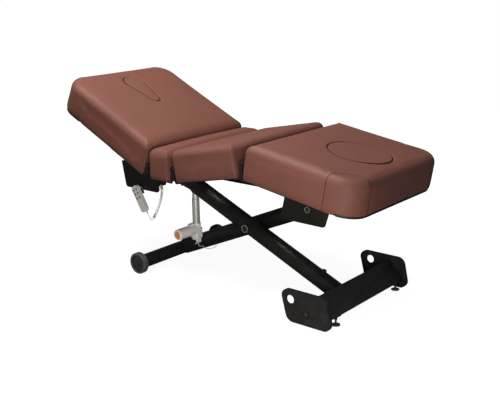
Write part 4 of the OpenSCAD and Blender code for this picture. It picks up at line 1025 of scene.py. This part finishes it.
@dataclass(frozen=True)
class Pad:
    """One padded section: sizes in its own axes, as its solid has them."""

    name: str
    node: str
    body: str
    place: Place
    low: float
    high: float
    base: float
    thick: float
    edge: float
    low_corner: float
    high_corner: float
    lean: float = 0.0
    soft: float = 1.0
    hole: Hole = Hole()
    flush: float = 9.0
    patch: tuple[float, float] = (0.0, 0.0)
    width: float = 0.780
    crown: float = 0.007
    draw: float = 0.003
    tuck: float = 0.008
    skirt: float = 0.014
    board: float = 0.0123
    rim: float = 0.006
    swell: float = 0.0022
    shy: float = 0.0012
    crease: float = 62.0
    pitch: float = 0.013
    wide_corner: float = 0.05
    wide_pitch: float = 0.009
    tight_pitch: float = 0.005
    fewest: int = 6
    least_radius: float = 0.004
    flush_run: float = 0.022
    spine_end: float = 0.02
    seam_half: float = 0.006
    seam_depth: float = 0.0011
    seam_above: float = 0.02
    lip_rows: int = 5
    cap_rows: int = 11
    top_rows: int = 19
    rim_rows: int = 5
    wall_rows: int = 8
    under_rows: int = 6

    def around(self) -> dict[str, Array]:
        """Stations round the outline: corner numbers k0, k1, angles a0, a1 and share w.

        A point is (1 - w) P(k0, a0) + w P(k1, a1), where P(k, a) lies on corner k's arc.
        """
        rows: list[Array] = []
        long_side = max(int((self.high - self.low) / self.pitch), self.fewest)
        end_side = int(self.width / self.pitch)
        for corner, first in ((0, 0.0), (1, 90.0), (2, 180.0), (3, 270.0)):
            radius = self.high_corner if corner in (0, 3) else self.low_corner
            pitch = self.wide_pitch if radius > self.wide_corner else self.tight_pitch
            n = max(int(radius * math.pi / 2 / pitch), self.fewest)
            a = np.linspace(first, first + 90.0, n + 1)
            one = np.ones_like(a)
            rows.append(np.stack([corner * one, corner * one, a, a, 0 * a], -1))
            count = long_side if corner in (0, 2) else end_side
            w = np.linspace(0.0, 1.0, count + 1)[1:-1]
            one = np.ones_like(w)
            rows.append(np.stack([corner * one, (corner + 1) % 4 * one, (first + 90.0) * one,
                                  (first + 90.0) * one, w], -1))
        table = np.concatenate(rows)
        return {"k0": table[:, 0].astype(int), "k1": table[:, 1].astype(int),
                "a0": np.radians(table[:, 2]), "a1": np.radians(table[:, 3]), "w": table[:, 4]}

    def outline(self, st: dict[str, Array], inset: Array, low_inset: Array, shift: Array,
                bow: Array) -> Array:
        """Rounded rectangles set in by inset, their low end by low_inset and moved by shift.

        Args:
            st: the stations.
            inset: set-in of each row.
            low_inset: set-in of the low end of each row.
            shift: how far each row's low end leans back.
            bow: inward bow of the long sides of each row.

        Returns:
            Points u, v for each row and station.
        """

        def col(x: Array) -> Array:
            """One value a row, as a column."""
            return np.asarray(x, float)[:, None]

        u0, u1 = self.low + col(shift) + col(low_inset), self.high - col(inset)
        y = self.width / 2 - col(inset)
        ra = np.maximum(self.low_corner - col(inset), self.least_radius)
        rb = np.maximum(self.high_corner - col(inset), self.least_radius)
        cu = np.stack([u1 - rb, u0 + ra, u0 + ra, u1 - rb], 0)
        cv = np.stack([y - rb, y - ra, ra - y, rb - y], 0)
        r = np.stack([rb, ra, ra, rb], 0)

        def on(k: Array, a: Array) -> Array:
            """Points on the corners' arcs."""
            return np.stack([cu[k, :, 0].T + r[k, :, 0].T * np.cos(a),
                             cv[k, :, 0].T + r[k, :, 0].T * np.sin(a)], -1)

        w = st["w"][None, :, None]
        p = (1 - w) * on(st["k0"], st["a0"]) + w * on(st["k1"], st["a1"])
        sides = np.isin(st["k0"], (0, 2)) & (st["w"] > 0)
        pull = col(bow) * np.where(sides, np.sin(np.pi * st["w"]), 0.0)
        p[..., 1] -= pull * np.sign(p[..., 1])
        return p

    def rows(self) -> dict[str, Array]:
        """Height and set-in of each row, from the lip under the edge to the top's edge.

        Side: set-in tuck (1 - h / 0.55)^5. Edge: the quarter (r sin a, r (1 - cos a)).
        """
        wall = self.thick - self.edge
        lip_h = np.array([self.board, self.board * 0.5, 0.0012, 0.0, 0.0])
        lip_i = np.array([self.skirt - 0.0002, self.skirt - 0.0002, self.skirt - 0.0004,
                          self.skirt - 0.0018, self.tuck + 0.0016])
        share = np.array([0.004, 0.015, 0.035, 0.06, 0.1, 0.15, 0.2, 0.27, 0.35, 0.45, 0.55,
                          0.66, 0.78, 0.89])
        side_i = self.tuck * (1 - np.minimum(share / 0.55, 1.0)) ** 5
        a = np.radians(np.linspace(0.0, 90.0, 13))
        edge_i = self.edge * (1 - np.cos(a))
        return {"h": np.concatenate([lip_h, share * wall, wall + self.edge * np.sin(a)]),
                "i": np.concatenate([lip_i, side_i, edge_i]),
                "j": np.concatenate([lip_i, side_i, edge_i * self.soft]),
                "g": np.concatenate([0 * lip_h, 0 * share, np.sin(a)])}

    def dome(self, uv: Array) -> Array:
        """Rise of the top: crown F(cu) F(cv), F(c) = 1 - (1 - c)^2, c the distance in."""
        half = (self.high - self.low - self.lean) / 2
        cu = np.minimum(uv[..., 0] - self.low - self.lean, self.high - uv[..., 0]) / half
        cv = (self.width / 2 - np.abs(uv[..., 1])) / (self.width / 2)
        f = [1 - (1 - np.clip(c, 0.0, 1.0)) ** 2 for c in (cu, cv)]
        return self.crown * f[0] * f[1]

    def seam(self, uv: Array) -> Array:
        """Signed distance to the corner seams: |e| < 1 inside the oval on each end corner."""
        if self.patch[0] == 0:
            return np.full(uv.shape[:-1], 1.0)
        du = (uv[..., 0] - self.high) / self.patch[0]
        dv = (self.width / 2 - np.abs(uv[..., 1])) / self.patch[1]
        e = np.maximum(np.hypot(du, dv), 1e-6)
        slope = np.hypot(du / self.patch[0], dv / self.patch[1]) / e
        return (e - 1.0) / np.maximum(slope, 1e-6)

    def build(self) -> Object:
        """The padding: lip, side, rolled edge, top and, where it has one, the opening's wall.

        Returns:
            The piece.
        """
        st, row = self.around(), self.rows()
        n = len(st["w"])
        rise = np.minimum(row["h"] / (self.thick - self.edge), 1.0)
        shy = self.shy * np.clip(rise * 8 - 0.6, 0.0, 1.0)
        uv = self.outline(st, row["i"] + shy, row["j"] + shy,
                          self.lean * np.minimum(row["h"] / self.thick, 1.0), self.draw * rise)
        h = np.broadcast_to(row["h"][:, None], uv.shape[:2]).copy()
        lift = self.board * self._step((uv[..., 0] - self.flush + self.flush_run) / self.flush_run)
        h = np.maximum(h, lift) + row["g"][:, None] * self.dome(uv)
        shell = np.concatenate([uv, h[..., None]], -1)
        whole = self.hole.kind is Opening.NONE
        points, held, joint = self._whole(shell) if whole else self._pierced(shell)
        patch = self.seam(points[..., :2])
        sink = np.exp(-(patch / self.seam_half) ** 2) * (points[..., 2] > self.seam_above)
        points = self._sunk(points, sink * self.seam_depth)
        placed = self.place.put(points + np.array([0, 0, self.base]))
        piece = as_mesh(self.name, [(placed, grid_faces(len(points), n, not whole, True))],
                        crease=self.crease)
        seam = np.where(np.abs(patch) < np.abs(joint[:, None]), patch, joint[:, None])
        hold = np.maximum(np.repeat(held, n), (np.abs(patch) < self.seam_half).ravel().astype(float))
        self.mark(piece, placed.reshape(-1, 3), seam.ravel(), hold)
        return piece

    def _topped(self, uv: Array) -> Array:
        """Points of the domed top over u, v."""
        return np.concatenate([uv, (self.thick + self.dome(uv))[..., None]], -1)

    def _whole(self, shell: Array) -> tuple[Array, Array, Array]:
        """A section without an opening: its base and top drawn in to a spine.

        Args:
            shell: rows of the lip, side and edge.

        Returns:
            All rows, each row's hold weight, and each row's distance to a plug: none, so 1.
        """
        last = shell[-1, :, :2]
        n = len(last)
        mid = (last[:, 0].max() + last[:, 0].min()) / 2
        reach = self.width / 2 - (last[:, 0].max() - last[:, 0].min()) / 2 - self.spine_end
        spine = np.stack([np.full(n, mid), np.clip(last[:, 1], -reach, reach)], -1)
        w = np.linspace(0.0, 1.0, self.cap_rows + 1)[1:, None, None]
        top = self._topped(last * (1 - w) + spine * w)
        low = np.concatenate([shell[0, :, :2] * (1 - w) + spine * w,
                              np.full((len(w), n, 1), self.board)], -1)
        points = np.concatenate([low[::-1], shell, top])
        fixed = len(low) + self.lip_rows
        held = np.r_[np.ones(fixed), np.zeros(len(points) - fixed)]
        return points, held, np.ones(len(points))

    def _pierced(self, shell: Array) -> tuple[Array, Array, Array]:
        """A section with an opening: top, rolled rim, wall and underside, back to the lip.

        Args:
            shell: rows of the lip, side and edge.

        Returns:
            All rows, each row's hold weight, and each row's distance to the plug's joint.
        """
        last = shell[-1, :, :2]
        n = len(last)
        mid = self.hole.centre()
        angle = np.arctan2(last[:, 1] - mid[1], last[:, 0] - mid[0])
        a = np.radians(np.linspace(90.0, 0.0, self.rim_rows + 1))[1:]
        rolled = self.hole.outline(angle, np.full(n, -self.rim))
        w = np.linspace(0.0, 1.0, self.top_rows + 1)[1:-1, None, None]
        top = self._topped(np.concatenate([last * (1 - w) + rolled * w, rolled[None]]))
        rim_uv = np.stack([self.hole.outline(angle, np.full(n, -self.rim * (1 - math.cos(x))))
                           for x in a])
        rim_h = self.thick + self.dome(rim_uv) - self.rim * (1 - np.sin(a))[:, None]
        edge = np.concatenate([rim_uv, rim_h[..., None]], -1)
        down = np.linspace(1.0, 0.0, self.wall_rows + 1)[1:, None]
        inner = np.broadcast_to(rim_uv[-1], (self.wall_rows, n, 2))
        deep = np.concatenate([inner, (self.board + (rim_h[-1][None] - self.board)
                                       * down)[..., None]], -1)
        back = np.linspace(0.0, 1.0, self.under_rows + 2)[1:-1, None, None]
        under = np.concatenate([rim_uv[-1] * (1 - back) + shell[0, :, :2] * back,
                                np.full((self.under_rows, n, 1), self.board)], -1)
        held = np.r_[np.ones(self.lip_rows), np.zeros(len(shell) - self.lip_rows + len(top)),
                     np.ones(len(edge) + len(deep) + len(under))]
        joint = np.concatenate([np.ones(len(shell)), np.linspace(1.0, self.rim, len(top)),
                                self.rim * (1 - np.sin(np.linspace(0.3, 1.57, len(edge)))),
                                np.linspace(0.0, 0.1, len(deep)), np.ones(len(under))])
        return np.concatenate([shell, top, edge, deep, under]), held, joint

    @staticmethod
    def _step(x: Array) -> Array:
        """The smooth step 3 x^2 - 2 x^3 of x kept between 0 and 1."""
        x = np.clip(x, 0.0, 1.0)
        return x * x * (3 - 2 * x)

    def _sunk(self, points: Array, depth: Array) -> Array:
        """Moves points inwards along the grid's own normal by depth."""
        du = np.roll(points, -1, 1) - np.roll(points, 1, 1)
        dv = np.gradient(points, axis=0)
        normal = np.cross(du, dv)
        size = np.linalg.norm(normal, axis=-1, keepdims=True)
        normal = normal / np.maximum(size, 1e-12)
        middle = np.array([(self.low + self.high) / 2, 0.0, self.thick / 2])
        facing = np.sign(np.sum(normal * (points - middle), -1, keepdims=True))
        return points - normal * facing * depth[..., None]

    @staticmethod
    def mark(piece: Object, points: Array, seam: Array, hold: Array) -> None:
        """Gives a merged mesh its seam distance and hold group from the nearest grid points.

        Args:
            piece: the piece.
            points: the grid's points, as built.
            seam: each point's distance to a seam.
            hold: 1 where the cloth is held.
        """
        tree = KDTree(len(points))
        for number, p in enumerate(points):
            tree.insert(p, number)
        tree.balance()
        near = np.array([tree.find(v.co)[1] for v in piece.data.vertices])
        mark = piece.data.attributes.new("seam", "FLOAT", "POINT")
        mark.data.foreach_set("value", seam[near].astype(np.float32))
        group = piece.vertex_groups.new(name="hold")
        group.add(np.flatnonzero(hold[near] >= 1.0).tolist(), 1.0, "REPLACE")


@dataclass(frozen=True)
class Plug:
    """A padded plug in a section's opening, resting on the board's ledge."""

    name: str
    node: str
    body: str
    pad: Pad
    gap: float = 0.0015
    ledge: float = 0.0123
    lip: float = 0.004
    ease: float = 0.001
    roll: float = 0.007
    rise: float = 0.0015
    around: int = 128
    side_rows: int = 9
    roll_rows: int = 8
    top_rows: int = 11

    def build(self) -> Object:
        """Levels of the opening's outline: foot, side, rolled edge and a low dome.

        The dome rises rise (1 - w^2) over the rolled edge, w the share of the way out to it.

        Returns:
            The piece.
        """
        hole, pad = self.pad.hole, self.pad
        top = pad.thick + pad.crown
        angle = 2 * np.pi * np.arange(self.around) / self.around
        a = np.radians(np.linspace(0.0, 90.0, self.roll_rows + 1))
        foot = pad.board + self.ease
        levels = [(0.0, self.ledge), (self.lip, self.ledge), (pad.board, self.ledge),
                  (pad.board, self.gap + self.ease), (foot, self.gap)]
        levels += [(foot + (top - self.roll - pad.board) * s, self.gap)
                   for s in np.linspace(0.1, 1.0, self.side_rows + 1)[:-1]]
        levels += [(top - self.roll * (1 - math.sin(x)), self.gap + self.roll * (1 - math.cos(x)))
                   for x in a]
        rows = [np.c_[hole.outline(angle, np.full(self.around, i)), np.full(self.around, z)]
                for z, i in levels]
        mid = hole.centre()
        for w in np.linspace(1.0, 0.0, self.top_rows + 1)[1:]:
            level = rows[len(levels) - 1].copy()
            level[:, :2] = mid + (level[:, :2] - mid) * w
            level[:, 2] = top + self.rise * (1 - w ** 2)
            rows.append(level)
        low = rows[0].copy()
        low[:, :2] = mid
        shell = np.stack([low] + rows)
        shell[..., 2] += pad.base
        placed = pad.place.put(shell)
        piece = as_mesh(self.name, [(placed, grid_faces(len(shell), self.around, False, True))],
                        crease=pad.crease)
        far = np.concatenate([[1.0], [max(i - self.gap, top - self.roll - z) for z, i in levels],
                              np.linspace(self.roll, 1.0, len(rows) - len(levels))])
        Pad.mark(piece, placed.reshape(-1, 3), np.repeat(far, self.around),
                 np.zeros(len(shell) * self.around))
        return piece


@dataclass(frozen=True)
class Cover:
    """The upholstery as cloth, with its inner pressure and the frames that it runs."""

    quality: int = 4
    mass: float = 0.25
    stretch: float = 18.0
    shear: float = 6.0
    bend: float = 1.2
    pressure: float = 4.0
    frames: int = 20

    def swell(self, piece: Object, cap: float) -> None:
        """Blows a padded piece up a little, with its seams, lip and walls held.

        The cloth runs without gravity and moves much further than cap. Each point p keeps the
        way of its move d and at most cap of its length: p + d min(1, cap / |d|).

        Args:
            piece: the padded piece, with its vertex group hold.
            cap: the most that a point may move.
        """
        scene = bpy.context.scene
        mesh = piece.data
        before = np.empty(len(mesh.vertices) * 3)
        mesh.vertices.foreach_get("co", before)
        cloth = piece.modifiers.new("cloth", "CLOTH")
        s = cloth.settings
        s.quality = self.quality
        s.mass = self.mass
        s.tension_stiffness = s.compression_stiffness = self.stretch
        s.shear_stiffness = self.shear
        s.bending_stiffness = self.bend
        s.use_pressure = True
        s.uniform_pressure_force = self.pressure
        s.effector_weights.gravity = 0.0
        s.vertex_group_mass = "hold"
        cloth.point_cache.frame_start, cloth.point_cache.frame_end = 1, self.frames
        for number in range(1, self.frames + 1):
            scene.frame_set(number)
        shaped = piece.evaluated_get(bpy.context.evaluated_depsgraph_get()).to_mesh()
        after = np.empty_like(before)
        shaped.vertices.foreach_get("co", after)
        piece.evaluated_get(bpy.context.evaluated_depsgraph_get()).to_mesh_clear()
        piece.modifiers.remove(cloth)
        scene.frame_set(1)
        move = (after - before).reshape(-1, 3)
        size = np.linalg.norm(move, axis=1, keepdims=True)
        move *= np.minimum(1.0, cap / np.maximum(size, 1e-9))
        mesh.vertices.foreach_set("co", (before.reshape(-1, 3) + move).ravel())
        mesh.update()
        LOG.info("%s: the cloth moved by up to %.1f mm, cut to %.1f mm at %.0f percent of points",
                 piece.name, 1000 * size.max(), 1000 * cap, 100 * np.mean(size > cap))


@dataclass
class Padding:
    """All six padded pieces."""

    back: Pad = Pad("back_padding", "back_cushion", "back", Place(*BACK_HINGE, 25.5, mirror=True),
                    low=0.010, high=0.746, base=-0.063, thick=0.181, edge=0.040,
                    low_corner=0.018, high_corner=0.120, lean=0.015, soft=1.4,
                    hole=Hole(Opening.TEAR), flush=0.559)
    lumbar: Pad = Pad("lumbar_padding", "lumbar_cushion", "table_frame", Place(*LUMBAR, 0.0),
                      low=-0.069, high=0.069, base=0.0, thick=0.165, edge=0.044,
                      low_corner=0.018, high_corner=0.018)
    seat: Pad = Pad("seat_padding", "seat_cushion", "seat", Place(*SEAT_HINGE, -11.3),
                    low=0.020, high=0.443, base=-0.062, thick=0.163, edge=0.034,
                    low_corner=0.018, high_corner=0.018)
    leg: Pad = Pad("leg_padding", "leg_cushion", "leg", Place(*KNEE, 9.40505),
                   low=0.025, high=0.667, base=-0.065, thick=0.178, edge=0.042,
                   low_corner=0.018, high_corner=0.120, hole=Hole(Opening.OVAL), flush=0.566,
                   patch=(0.172, 0.115))
    cover: Cover = Cover()

    def build(self, paint: Paint) -> None:
        """Builds, swells and dresses each padded piece.

        Args:
            paint: the finishes.
        """
        for pad in (self.back, self.lumbar, self.seat, self.leg):
            piece = pad.build()
            self.cover.swell(piece, pad.swell)
            self.dress(piece, pad.node, pad.body, paint)
        for plug in (Plug("face_pad", "face_plug", "face_plug", self.back),
                     Plug("leg_pad", "leg_plug", "leg_plug", self.leg)):
            self.dress(plug.build(), plug.node, plug.body, paint)

    def dress(self, piece: Object, node: str, body: str, paint: Paint) -> None:
        """Args:
            piece: the padded piece.
            node: the solid that it stands for.
            body: the body that carries it.
            paint: the finishes.
        """
        soft = piece.modifiers.new("round", "SUBSURF")
        soft.levels = soft.render_levels = 1
        paint.piece(piece, Coat.LEATHER, body)
        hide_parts(node)


class Solids:
    """The solids that stay as they are, with their finishes."""

    FINISHES: dict[Coat, tuple[str, ...]] = {
        Coat.POWDER: ("foot_plates", "foot_beam", "arm_a_tube", "arm_b_tube",
                      "wheel_cross_tube", "side_rails", "cross_members", "foot_gussets",
                      "head_gussets", "hinge_ears", "back_hinges", "seat_hinges", "leg_hinges",
                      "handset_hanger"),
        Coat.ZINC: ("lift_screw",),
        Coat.BOLT: ("wheel_bolts", "hinge_pins", "knee_pins", "top_cross_axle"),
        Coat.RUBBER: ("foot_axle", "pivot_bolt", "top_axle", "levelling_foot_near",
                      "levelling_foot_far"),
        Coat.STEEL: ("lift_column", "lift_rod", "back_drive_rod", "knee_drive_rod"),
        Coat.BLACK_PLASTIC: ("wheel_near", "wheel_far", "control_box", "back_drive_body",
                             "knee_drive_body"),
        Coat.PALE_PLASTIC: ("gear_housing", "motor_cover", "handset_shell"),
        Coat.ORANGE: ("motor_disc",),
        Coat.KEY: tuple(f"key_{n}" for n in range(1, 7)),
        Coat.TYRE: ("tyre_near", "tyre_far"),
        Coat.ROLLER: ("roller_near", "roller_far"),
        Coat.BOARD: ("lumbar_board", "back_board", "seat_board", "leg_board"),
    }

    def dress(self, paint: Paint) -> None:
        """Puts the finishes on.

        Args:
            paint: the finishes.
        """
        for coat, nodes in self.FINISHES.items():
            paint.solid(coat, *nodes)
            LOG.info("%s on %s", coat.value.name, ", ".join(nodes))


@dataclass(frozen=True)
class Ring:
    """A thin turned ring on a round end: middle, direction out, radii and height."""

    name: str
    body: str
    coat: Coat
    at: tuple[float, float, float]
    way: tuple[float, float, float]
    inner: float
    outer: float
    height: float
    around: int = 64

    def build(self, paint: Paint) -> Object:
        """A rounded ring: inner wall, low bevels of a quarter of its height, outer wall.

        Args:
            paint: the finishes.

        Returns:
            The piece.
        """
        b = self.height / 4
        points, _ = lathe([(self.inner, -b), (self.inner, self.height - b),
                               (self.inner + b, self.height), (self.outer - b, self.height),
                               (self.outer, self.height - b), (self.outer, -b)],
                              self.at, self.way, self.around)
        closed = grid_faces(len(points), self.around, True, True)
        return paint.piece(as_mesh(self.name, [(points, closed)]), self.coat, self.body)


@dataclass(frozen=True)
class Screw:
    """A low socket-head screw: middle, direction out, radius."""

    name: str
    body: str
    coat: Coat
    at: tuple[float, float, float]
    way: tuple[float, float, float]
    radius: float
    flatness: float = 0.32
    socket: float = 0.45
    around: int = 36

    def build(self, paint: Paint) -> Object:
        """A domed head with a sunk round socket.

        Args:
            paint: the finishes.

        Returns:
            The piece.
        """
        r, h, s = self.radius, self.flatness * self.radius, self.socket * self.radius
        head = [(0.0, -0.3 * h), (r, -0.3 * h), (r, 0.45 * h), (0.9 * r, 0.8 * h), (0.72 * r, h),
                (s, h), (s, 0.25 * h), (0.0, 0.2 * h)]
        return paint.piece(as_mesh(self.name, [lathe(head, self.at, self.way, self.around)]),
                           self.coat, self.body)


@dataclass(frozen=True)
class Saddle:
    """A weld bead where a round arm meets the floor cross tube."""

    name: str
    at: tuple[float, float] = CROSS_TUBE
    across: float = 0.038
    arm: float = 0.0455
    arm_y: float = 0.050
    lean: float = ARM_LEAN
    side: float = -1.0
    bead: float = 0.0032
    reach: float = 88.0
    steps: int = 220
    fade: float = 14.0
    ripple: float = 0.14
    ripples: int = 60

    def build(self, paint: Paint) -> Object:
        """The bead's line: angle a round the cross tube, y = arm_y + side sqrt(R^2 - (r sin a)^2).

        It swells and shrinks by (1 + ripple sin(ripples a)) and dies out at both ends.

        Args:
            paint: the finishes.

        Returns:
            The piece.
        """
        count = np.arange(self.steps + 1)
        a = np.radians(np.linspace(-self.reach, self.reach, self.steps + 1))
        z = self.across * np.sin(a)
        y = self.arm_y + self.side * np.sqrt(self.arm ** 2 - z ** 2)
        dx, dz = turned(self.across * np.cos(a), z, -self.lean)
        path = np.stack([self.at[0] + dx, y, self.at[1] + dz], -1)
        end = np.clip(np.minimum(count, self.steps - count) / self.fade, 0.02, 1.0)
        radius = self.bead * np.sqrt(end) * (1 + self.ripple * np.sin(self.ripples * a))
        points, faces = tube(path, radius, (0.0, 1.0, 0.0), 12)
        return paint.piece(as_mesh(self.name, [(points, faces)], crease=60.0), Coat.POWDER,
                           "wheel_arm")


def on_axis(pivot: tuple[float, float], y: float) -> tuple[float, float, float]:
    """The point of a cross axis at y."""
    return pivot[0], y, pivot[1]


@dataclass
class Fittings:
    """The small turned and welded pieces that the solids leave out, and thin bright zinc rings that
    paint the highlight on the rims of the black axle ends.
    """

    rings: tuple[Ring, ...] = (
        # Painted highlight: the thin bright zinc rings on the pivot, top and foot axle ends stand for
        # the highlight on the rims of those black ends.
        Ring("pivot_highlight_ring_near", "foot_arm", Coat.ZINC, on_axis(PIVOT, -0.103), NEAR,
             0.0178, 0.0196, 0.0012),
        Ring("pivot_highlight_ring_far", "foot_arm", Coat.ZINC, on_axis(PIVOT, 0.103), FAR,
             0.0178, 0.0196, 0.0012),
        Ring("top_highlight_ring_near", "table_frame", Coat.ZINC, on_axis(TOP_AXLE, -0.131), NEAR,
             0.0132, 0.0148, 0.001),
        Ring("foot_highlight_ring_near", "foot", Coat.ZINC, on_axis(FOOT_AXLE, -0.359), NEAR,
             0.0158, 0.0174, 0.001),
        Ring("foot_highlight_ring_far", "foot", Coat.ZINC, on_axis(FOOT_AXLE, 0.359), FAR,
             0.0158, 0.0174, 0.001),
        Ring("disc_ring", "lift_drive", Coat.PALE_PLASTIC, (-0.305666, -0.177, 0.212926), NEAR,
             0.0216, 0.0245, 0.0016),
        Ring("column_wiper", "lift_drive", Coat.BLACK_PLASTIC, (-0.305648, -0.021, 0.3899), UP,
             0.0192, 0.0203, 0.0014),
    )
    screws: tuple[Screw, ...] = (
        Screw("pivot_screw", "foot_arm", Coat.RUBBER, on_axis(PIVOT, -0.103), NEAR, 0.0085),
        Screw("top_screw", "table_frame", Coat.RUBBER, on_axis(TOP_AXLE, -0.131), NEAR, 0.0065),
        Screw("foot_screw", "foot", Coat.RUBBER, on_axis(FOOT_AXLE, -0.359), NEAR, 0.0085),
    )
    beads: tuple[Saddle, ...] = (Saddle("weld_near", side=-1.0), Saddle("weld_far", side=1.0))

    def build(self, paint: Paint) -> None:
        """Builds every fitting.

        Args:
            paint: the finishes.
        """
        for group in (self.rings, self.screws, self.beads):
            for fitting in group:
                fitting.build(paint)


def main() -> None:
    """Builds the studio, the cords, the padding, the solids' finishes and the fittings."""
    logging.basicConfig(level=logging.INFO, format="%(message)s")
    studio = Studio()
    studio.camera()
    paint = Paint()
    Cords().build(paint)
    Padding().build(paint)
    Solids().dress(paint)
    Fittings().build(paint)
    studio.stage()
    studio.lamps()


if __name__ == "__main__":
    main()
